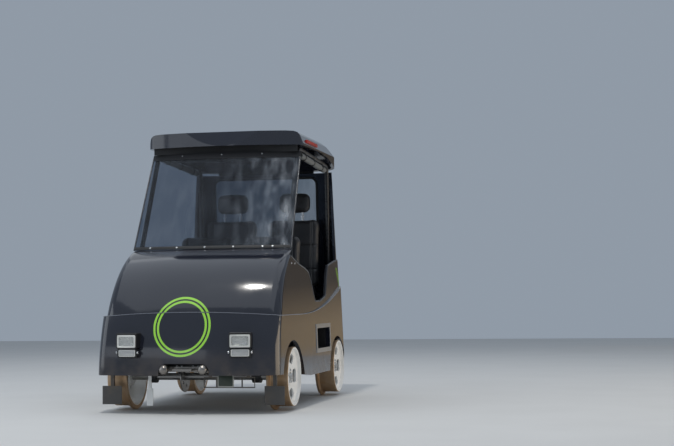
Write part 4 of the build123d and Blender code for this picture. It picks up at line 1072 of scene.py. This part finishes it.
def pad_block(width, depth, height, corner):
    """A rounded block with soft edges, centred on the origin and standing along z."""
    shape = bmesh.new()
    edge = height * EDGE_SHARE
    layers = []
    for k in range(-3, 4):
        turn = math.radians(30 * k)
        inset = edge * (1 - math.cos(turn))
        level = math.sin(turn) * edge + (height / 2 - edge) * ((k > 0) - (k < 0))
        outline = rounded(width - 2 * inset, depth - 2 * inset, max(corner - inset, 0.008), 6)
        layers.append((outline, level))
    layered(shape, (Vector(), LEFT, BACK, UP), layers)
    bmesh.ops.recalc_face_normals(shape, faces=shape.faces)
    return shape


def stuffed(pad):
    """Points of a pad after it was simulated as a cloth with pressure in it."""
    cloth = pad.modifiers.new("stuffing", "CLOTH")
    settings = cloth.settings
    settings.use_pressure = True
    settings.uniform_pressure_force = PRESSURE
    settings.effector_weights.gravity = 0.0
    settings.quality = 5
    settings.tension_stiffness = settings.compression_stiffness = 12
    cloth.point_cache.frame_end = FRAMES
    for number in range(1, FRAMES + 1):
        scene.frame_set(number)
    points = [v.co.copy() for v in applied(pad).vertices]
    scene.frame_set(1)
    return points


def held_in(value, reach):
    """The value, slowed down on the last part of the way so that it never passes its reach."""
    free, soft = reach * FREE_SHARE, reach * SOFT_SHARE
    over = abs(value) - free
    return math.copysign(free + soft * (1 - math.exp(-over / soft)), value) if over > 0 else value


def blown_up(name, size, corner, cap):
    """Points and faces of a stuffed pad; cap is the longest way that a point may move."""
    width, depth, height = size
    small = 0.5 + SHRINK / 2
    block = pad_block(width * small, depth * small, height * SHRINK * FLATTER, corner)
    pad = new_object(name, mesh_of(name, block))
    bpy.context.view_layer.objects.active = pad
    pad.modifiers.new("even_skin", "REMESH").voxel_size = VOXEL
    pad.data = even = applied(pad)
    before = [v.co.copy() for v in even.vertices]
    after = stuffed(pad)
    for vertex, old, new in zip(even.vertices, before, after):
        move = new - old
        if move.length > cap:
            move = move.normalized() * cap
        vertex.co = [held_in(value, reach) for value, reach in zip(old + move, Vector(size) / 2)]
    smooth = bmesh.new()
    smooth.from_mesh(even)
    bmesh.ops.subdivide_edges(smooth, edges=smooth.edges, cuts=1, use_grid_fill=True, smooth=0.6)
    bmesh.ops.smooth_vert(smooth, verts=smooth.verts, factor=0.5, use_axis_x=True,
                          use_axis_y=True, use_axis_z=True)
    smooth.to_mesh(even)
    smooth.free()
    points = [v.co.copy() for v in even.vertices]
    faces = [tuple(p.vertices) for p in even.polygons]
    bpy.data.objects.remove(pad)
    print(name, len(points), "points")
    return points, faces


# %% [markdown]
# Each pad is described by its own size, the radius of its corners, the longest
# way that a point may move, and the lines of its sewn channels, each with its axis
# and its place. A groove is pressed in by moving each point inwards by an amount
# that falls off with its distance from the line. A welt, which is the corded
# seam, goes round each pad, and two rows of stitches run beside each channel.

# %% The four pads and the ten places
PADS = {
    "cushion": ((0.480, 0.430, 0.105), 0.045, 0.026,
                ((1, -0.075), (1, 0.045), (0, -0.150), (0, 0.150))),
    "front_back": ((0.480, 0.600, 0.080), 0.060, 0.024,
                   ((1, -0.120), (1, 0.060), (0, -0.150), (0, 0.150))),
    "rear_back": ((0.480, 0.630, 0.080), 0.060, 0.024,
                  ((1, -0.130), (1, 0.070), (0, -0.150), (0, 0.150))),
    "headrest": ((0.270, 0.165, 0.080), 0.050, 0.018, ()),
}
PLACES = (("front", "cushion", "front_cushions"), ("front", "front_back", "front_backrests"),
          ("rear", "cushion", "rear_cushions"), ("rear", "rear_back", "rear_backrests"),
          ("rear", "headrest", "rear_headrests"))
ROWS = {"front": (-0.250, 0.640, 0.590), "rear": (0.455, 0.770, 0.620)}
SEAT_X = 0.2625
LEAN = math.radians(6)
GROOVE_DEPTH = 0.0075
GROOVE_REACH = 0.011 / 1.6
WELT_LEVEL = 0.20
STITCH_OFF = 0.0075
SEAM_END = 0.035
CUSHION_MIDDLE = (0.215, 0.0528)
BACK_FOOT = (0.4303, 0.060)
BACK_HALF = 0.040
HEADREST_GAP, HEADREST_HALF = 0.030, 0.0825


def grooved(points, height, lines):
    """Presses the channels into the upper face of a pad and wrinkles it a little."""
    pressed = []
    for p in points:
        deep = max((math.exp(-((p[axis] - at) / GROOVE_REACH) ** 2) for axis, at in lines),
                   default=0.0)
        upper = max(0.0, min(1.0, (p.z / (height / 2) - 0.15) / 0.5))
        wrinkle = noise.noise(Vector((p.x * 16, p.y * 16, p.z * 30))) * 0.0012
        pressed.append(Vector((p.x, p.y, p.z - GROOVE_DEPTH * deep * upper + wrinkle * upper)))
    return pressed


def seat_turn(kind, row):
    """Turn and place of a pad of that kind in that row, without its side."""
    start_y, start_z, back_height = ROWS[row]
    if kind == "cushion":
        y, z = CUSHION_MIDDLE
        return Matrix.Identity(3), Vector((0, start_y + y, start_z + z))
    rise = Vector((0, math.sin(LEAN), math.cos(LEAN)))
    out = Vector((0, -math.cos(LEAN), math.sin(LEAN)))
    turn = Matrix((LEFT, rise, out)).transposed()
    y, z = BACK_FOOT
    foot = Vector((0, start_y + y, start_z + z)) - out * BACK_HALF
    if kind == "headrest":
        return turn, foot + rise * (back_height + HEADREST_GAP + HEADREST_HALF)
    return turn, foot + rise * (back_height / 2)


# %% Pads, their welts and their stitches
def welt_ring(tree, size, corner, level):
    """Points round a pad at a level, where rays from outside meet it."""
    limits = [length / 2 - corner for length in size[:2]]
    loop = rounded(size[0] + 0.1, size[1] + 0.1, corner + 0.05, 10)
    ring = []
    for (a, b), (c, d) in zip(loop, loop[1:] + loop[:1]):
        pieces = max(1, int(math.hypot(c - a, d - b) / 0.02))
        for k in range(pieces):
            at = Vector((a + (c - a) * k / pieces, b + (d - b) * k / pieces, level))
            near = [max(-limit, min(limit, value)) for limit, value in zip(limits, at)]
            ring.append(tree.ray_cast(at, (Vector((*near, level)) - at).normalized())[0])
    return [hit for hit in ring if hit is not None]


def seam_lines(tree, size, channels):
    """Lines on both sides of each channel, where rays from above meet the pad."""
    found = []
    for axis, at in channels:
        reach = size[1 - axis] / 2 - SEAM_END
        for off in (-STITCH_OFF, STITCH_OFF):
            line = []
            for k in range(61):
                along = -reach + 2 * reach * k / 60
                begin = (along, at + off, 0.2) if axis else (at + off, along, 0.2)
                line.append(tree.ray_cast(Vector(begin), -UP)[0])
            found.append([hit for hit in line if hit is not None])
    return found


def place_pads():
    """Makes the ten pads; returns the rings for the welts and the lines for the stitches."""
    made = {kind: blown_up(kind, *values[:3]) for kind, values in PADS.items()}
    welts, seams = [], []
    for row, kind, node in PLACES:
        size, corner, _, channels = PADS[kind]
        points, faces = made[kind]
        points = grooved(points, size[2], channels)
        tree = BVHTree.FromPolygons(points, faces)
        level = 0.0 if kind == "headrest" else WELT_LEVEL
        ring = welt_ring(tree, size, corner, size[2] * level)
        lines = seam_lines(tree, size, channels)
        turn, place = seat_turn(kind, row)
        for word, side in SIDES:
            shift = place + LEFT * (side * SEAT_X)
            mesh = bpy.data.meshes.new("pad")
            mesh.from_pydata([tuple(turn @ p + shift) for p in points], [], faces)
            shape = bmesh.new()
            shape.from_mesh(mesh)
            bpy.data.meshes.remove(mesh)
            pad = keep(f"{node[:-1]}_{word}", shape, vinyl, sharp=180)
            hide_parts(node)
            welts.append([turn @ p + shift for p in ring])
            seams += [[turn @ p + shift for p in line] for line in lines]
    return welts, seams


welts, seams = place_pads()
shape = bmesh.new()
for ring in welts:
    middle = sum(ring, Vector()) / len(ring)
    rings = []
    for i, point in enumerate(ring):
        along = (ring[(i + 1) % len(ring)] - ring[i - 1]).normalized()
        out = (point - middle) - along * (point - middle).dot(along)
        first = out.normalized()
        second = along.cross(first)
        rings.append([point - first * 0.0022 + first * a + second * b for a, b in circle(0.0036, 8)])
    skin(shape, rings, joined=True)
keep("seat_welts", shape, piping_black, sharp=180)

places, edges = [], []
for line in seams:
    edges += [(len(places) + k, len(places) + k + 1) for k in range(len(line) - 1)]
    places += [tuple(p) for p in line]
mesh = bpy.data.meshes.new("seam_lines")
mesh.from_pydata(places, edges, [])
run_tree("seat_stitches", stitch_tree, mesh, "seat_cloth", Length=0.0055, Pitch=0.0095,
         Thickness=0.0014, Material=thread_grey)

# %% Headrest posts
POST_OFF = 0.0675
POST_FOOT = 0.150
COLLAR_LEVEL = 0.0385
turn, place = seat_turn("headrest", "rear")
across, rise, out = turn @ LEFT, turn @ BACK, turn @ UP
shape = bmesh.new()
for _, side in SIDES:
    for off in (-POST_OFF, POST_OFF):
        foot = place + LEFT * (side * SEAT_X + off) - rise * POST_FOOT
        stacked(shape, (foot, across, out, rise), ((7.8, 0), (8, 110)), sides=20)
        stacked(shape, (foot + rise * COLLAR_LEVEL, across, out, rise),
                ((15, -4), (15, 3), (12.5, 6), (8.5, 6.5)), sides=20)
keep("headrest_posts", shape, bright_zinc)

# %% [markdown]
# ## Side curtains
# A rain curtain is rolled up and strapped under each roof tube. A plain rod
# would not show that it is a wound sheet, so the roll is one long spiral band:
# its outline winds from the core to the outside and back on the other face. The
# straps pinch it, and between them the turns wrinkle.

# %% Wound curtain rolls with straps
curtain = moulding("curtain_grey", (0.16, 0.165, 0.16), 0.5, 700.0, 0.0002)
strap_black = moulding("strap_black", (0.012, 0.012, 0.013), 0.75, 500.0, 0.0003)
TURNS = 8
ROLL_R = 0.0262
CORE_R = 0.003
SHEET_WALL = 0.0014
ROLL_LENGTH = 0.880
ROLL_DROP = 0.0443
STRAPS = (0.13, 0.44, 0.75)
STRAP_R = 0.0238
STRAP_TOP = 0.030
ROLL_PARTS = 44
FULL, RIPPLE, PINCH, PINCH_REACH = 0.955, 0.05, 0.10, 0.022


def roll_axis(side):
    """Start of a curtain roll, its direction and the two directions across it."""
    begin = Vector((side * 0.540, -0.069, 1.895))
    along = (Vector((side * 0.535, 0.980, 1.850)) - begin).normalized()
    across = along.cross(UP).normalized()
    rise = across.cross(along)
    return begin + along * 0.060 - rise * ROLL_DROP, along, across, rise


def wound(turns, parts=16):
    """Spiral band: outwards along its outer face, back along its inner face."""
    shares = [k / (turns * parts) for k in range(turns * parts + 1)]
    outer = [(CORE_R + (ROLL_R - CORE_R) * share, math.tau * turns * share) for share in shares]
    return outer + [(radius - SHEET_WALL, turn) for radius, turn in outer[::-1]]


band = wound(TURNS)
for word, side in SIDES:
    begin, along, across, rise = roll_axis(side)
    shape = bmesh.new()
    rings = []
    for k in range(ROLL_PARTS + 1):
        at = k / ROLL_PARTS * ROLL_LENGTH
        pinch = sum(math.exp(-((at - strap) / PINCH_REACH) ** 2) for strap in STRAPS)
        ring = []
        for radius, turn in band:
            x, y = math.cos(turn), math.sin(turn)
            ripple = noise.noise(Vector((at * 14, x * 1.3, y * 1.3 + side * 7))) * RIPPLE
            real = radius * (FULL + ripple - PINCH * pinch)
            ring.append(begin + along * at + across * (real * x) + rise * (real * y))
        rings.append(ring)
    skin(shape, rings)
    roll = keep(f"curtain_roll_{word}", shape, curtain, sharp=50)
    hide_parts("curtain_rolls")
    straps = bmesh.new()
    for at in STRAPS:
        middle = begin + along * at
        path = []
        for x, y in circle(1):
            hump = STRAP_TOP * max(0.0, y) ** 3
            path.append(middle + across * (STRAP_R * x) + rise * (STRAP_R * y + hump))
        carried(straps, path, rounded(0.024, 0.0018, 0.0008, 2), along, closed=True)
        stacked(straps, (middle - rise * 0.0245, along, across, -rise),
                ((30, 20, 4, 0), (30, 20, 4, 2.2), (26, 16, 3, 3.2)))
    keep(f"curtain_straps_{word}", straps, strap_black)
print("curtains wound")

# %% [markdown]
# ## Floor and dashboard
# Ribbed rubber mats lie in both footwells. Their ribs are long plates from
# the plate tree, and so are the louvres of the rear plinth. The dashboard has a
# speed dial, three rockers and a start button, all set on its own face by rays.

# %% Floor mats and louvres
MATS_Y = ((-0.760, -0.290), (0.205, 0.440))
MAT_WIDTH = 0.800
RIB_PITCH = 0.014
LOUVRES = 8
LOUVRE_Y = 0.72
LOUVRE_LOW_Z, LOUVRE_PITCH = 0.470, 0.026
LOUVRE_SLOPE = 0.35
floor_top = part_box("floor_pan")[1].z
shape = bmesh.new()
ribs = []
for low_y, high_y in MATS_Y:
    length = high_y - low_y
    mat = rounded(MAT_WIDTH, length, 0.02)
    crown = rounded(MAT_WIDTH - 0.006, length - 0.006, 0.018)
    layered(shape, (Vector((0, (low_y + high_y) / 2, floor_top)), LEFT, BACK, UP),
            ((mat, 0.0), (mat, 0.003), (crown, 0.0045)))
    for k in range(int((length - 0.04) / RIB_PITCH)):
        ribs.append((Vector((0, low_y + 0.026 + RIB_PITCH * k, floor_top + 0.004)), UP, LEFT))
keep("floor_mats", shape, black_rubber)
small_plates("floor_mat_ribs", ribs, (0.760, 0.0060, 0.0020, 0.0022), black_rubber, "floor_sheet")

low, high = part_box("rear_seat_plinth")
louvres = []
for place, out, across in ((Vector((high.x, LOUVRE_Y, 0)), LEFT, BACK),
                           (Vector((-high.x, LOUVRE_Y, 0)), -LEFT, BACK),
                           (Vector((0, low.y, 0)), -BACK, LEFT)):
    facing = (out + UP * LOUVRE_SLOPE).normalized()
    louvres += [(place + UP * (LOUVRE_LOW_Z + LOUVRE_PITCH * k), facing, across)
                for k in range(LOUVRES)]
small_plates("plinth_louvres", louvres, (0.240, 0.0120, 0.0040, 0.0050), dark_moulding,
             "plinth_plastic")

# %% Dashboard controls
DIAL = (-0.190, 1.045)
TICKS, TICK_SHARE = 24, 0.18
TICK_BAND = (0.020, 0.0245)
ROCKERS_X = (-0.090, -0.055, -0.020)
BUTTON_X = 0.030
CONTROLS_Z = 1.045
dash_at = ray_on("dashboard")
dial_face, shader = start("dial_face", (0.02, 0.02, 0.02), 0.35)
x, _, z = axes(dial_face)
turn = sums("ARCTAN2", sums("SUBTRACT", z, DIAL[1]), sums("SUBTRACT", x, DIAL[0]))
ticks = below(sums("FLOORED_MODULO", times(turn, TICKS / math.tau), 1.0), TICK_SHARE)
marks = times(ticks, band_of(distance(x, z, DIAL), (TICK_BAND,)))
feed(shader, Base_Color=two_colours(marks, (0.015, 0.015, 0.016), (0.80, 0.82, 0.78)))


def dash_seat(x, z):
    """Seat on the face of the dashboard that looks at the driver."""
    place, normal = dash_at((x, 2, z), (0, -1, 0))
    return place, -LEFT, normal.cross(-LEFT), normal


seat = dash_seat(*DIAL)
place, across, rise, out = seat
aim = (rise * 0.7 + across * 0.7).normalized()
stack_piece("dial_rim", [seat], (
    (32.5, -2), (32.5, 6), (30.5, 7.5), (27.5, 6.5), (26.5, 3), (26.5, -2)), bright_zinc,
    "dash_plastic", joined=True, sides=40)
stack_piece("dial_plate", [seat], ((26.6, -1), (26.6, 2.2), (4, 2.2), (3.2, 4), (1, 4.2)),
            dial_face, "dash_plastic", sides=40)
stack_piece("dial_needle", [(place + out * 0.0036, out, out.cross(aim), aim)],
            ((0.8, 2.6, 0.3, -4), (0.8, 1, 0.3, 21)), red_cover, "dash_plastic")

rockers = [(place, out, across)
           for place, across, _, out in (dash_seat(x, CONTROLS_Z) for x in ROCKERS_X)]
small_plates("dash_rockers", rockers, (0.0220, 0.0340, 0.0040, 0.0050), housing_black,
             "dash_plastic")
stack_piece("start_button", [dash_seat(BUTTON_X, CONTROLS_Z)], (
    (15, -1), (15, 4), (11, 5), (10.5, 10), (8, 12), (2, 12.5)), red_cover, "dash_plastic", sides=28)

# %% [markdown]
# ## Brake lever, window bead and roof seals
# A bent lever stands between the front seats, with a round grip. A rubber
# bead closes the joint between the rear window and the tail panel on both faces,
# and a rubber strip closes the gap under each end of the roof.

# %% Brake lever
LEVER_Y, LEVER_BEND, LEVER_HEIGHT, LEVER_PARTS = -0.330, 0.10, 0.40, 12
GRIP_BELOW, GRIP_LENGTH = 0.085, 0.110


def turned_tube(shape, path, radii, sides=14):
    """A round bar along a path, with its own radius at each point."""
    rings = []
    for before, point, after, radius in zip(path[:1] + path, path, path[1:] + path[-1:], radii):
        second = (after - before).cross(LEFT).normalized()
        rings.append([point + LEFT * a + second * b for a, b in circle(radius, sides)])
    skin(shape, rings)


foot = Vector((0, LEVER_Y, floor_top + 0.004))
bar = []
for k in range(LEVER_PARTS + 1):
    share = k / LEVER_PARTS
    bar.append(foot + BACK * (LEVER_BEND * share ** 2) + UP * (LEVER_HEIGHT * share))
shape = bmesh.new()
turned_tube(shape, bar, [0.0085] * len(bar))
stacked(shape, (foot, LEFT, BACK, UP),
        ((75, 110, 12, 0), (75, 110, 12, 4), (50, 70, 16, 14), (24, 34, 8, 30)))
keep("brake_lever", shape, chassis_paint)
aim = (bar[-1] - bar[-2]).normalized()
grip = [bar[-1] + aim * (GRIP_LENGTH * k / 14 - GRIP_BELOW) for k in range(15)]
radii = [0.0100 + 0.0050 * math.sin(math.pi * min(1, 0.12 + k / 16)) for k in range(15)]
shape = bmesh.new()
turned_tube(shape, grip, radii, 20)
keep("brake_lever_grip", shape, black_rubber)

# %% Rear window bead and roof seals
PANE_CORNER = 0.058
BEYOND_PANE = 1.02
BEAD_PITCH = 0.03
SEAL_SUNK = 0.0015
tail_at = ray_on("tail_panel")
roof_at = ray_on("roof")
low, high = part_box("rear_window")
middle_z = (low.z + high.z) / 2
outline = rounded(high.x - low.x + 0.006, high.z - low.z + 0.006, PANE_CORNER, 8)
shape = bmesh.new()
for facing in (1, -1):
    path = []
    for a, b in outline:
        begin = (a * BEYOND_PANE, facing * 4, middle_z + b * BEYOND_PANE)
        place, normal = tail_at(begin, (0, -facing, 0))
        path.append(place + normal * 0.0010 - Vector((a, 0, b)).normalized() * 0.006)
    full = []
    for one, other in zip(path, path[1:] + path[:1]):
        pieces = max(1, int((other - one).length / BEAD_PITCH))
        full += [one.lerp(other, k / pieces) for k in range(pieces)]
    carried(shape, full, rounded(0.008, 0.018, 0.0035), BACK, closed=True)
keep("rear_window_bead", shape, black_rubber)


def roof_seal(name, middle_y, half, foot_z):
    """A rubber strip that stands on the sheet below and reaches up to the roof's underside."""
    rings = []
    for k in range(41):
        x = half * (k / 20 - 1)
        under, _ = roof_at((x, middle_y, foot_z - 0.02), UP)
        if under is not None:
            top = under.z + SEAL_SUNK
            rings.append([Vector((x, middle_y + off, z)) for off, z in (
                (-0.005, foot_z), (0.005, foot_z), (0.004, top), (-0.004, top))])
    shape = bmesh.new()
    skin(shape, rings)
    keep(name, shape, black_rubber)
    print(name, len(rings), "rings up to", round(rings[20][2].z, 4))


roof_seal("roof_front_seal", -0.150, 0.555, 1.8640)
roof_seal("roof_rear_seal", 1.085, 0.540, 1.7900)
print("rear sheet edged")

# %% [markdown]
# ## Floor
# The car stands on a pale plain floor.

# %% Floor
shape = bmesh.new()
bmesh.ops.create_grid(shape, x_segments=8, y_segments=8, size=16)
floor = new_object("studio_floor", mesh_of("studio_floor", shape))
floor_finish, shader = start("studio_floor", (0.60, 0.60, 0.59), 0.85)
feed(shader, Base_Color=two_colours(clouds(floor_finish, 1.5, 4), (0.57, 0.57, 0.56),
                                    (0.63, 0.63, 0.62)))
floor.data.materials.append(floor_finish)
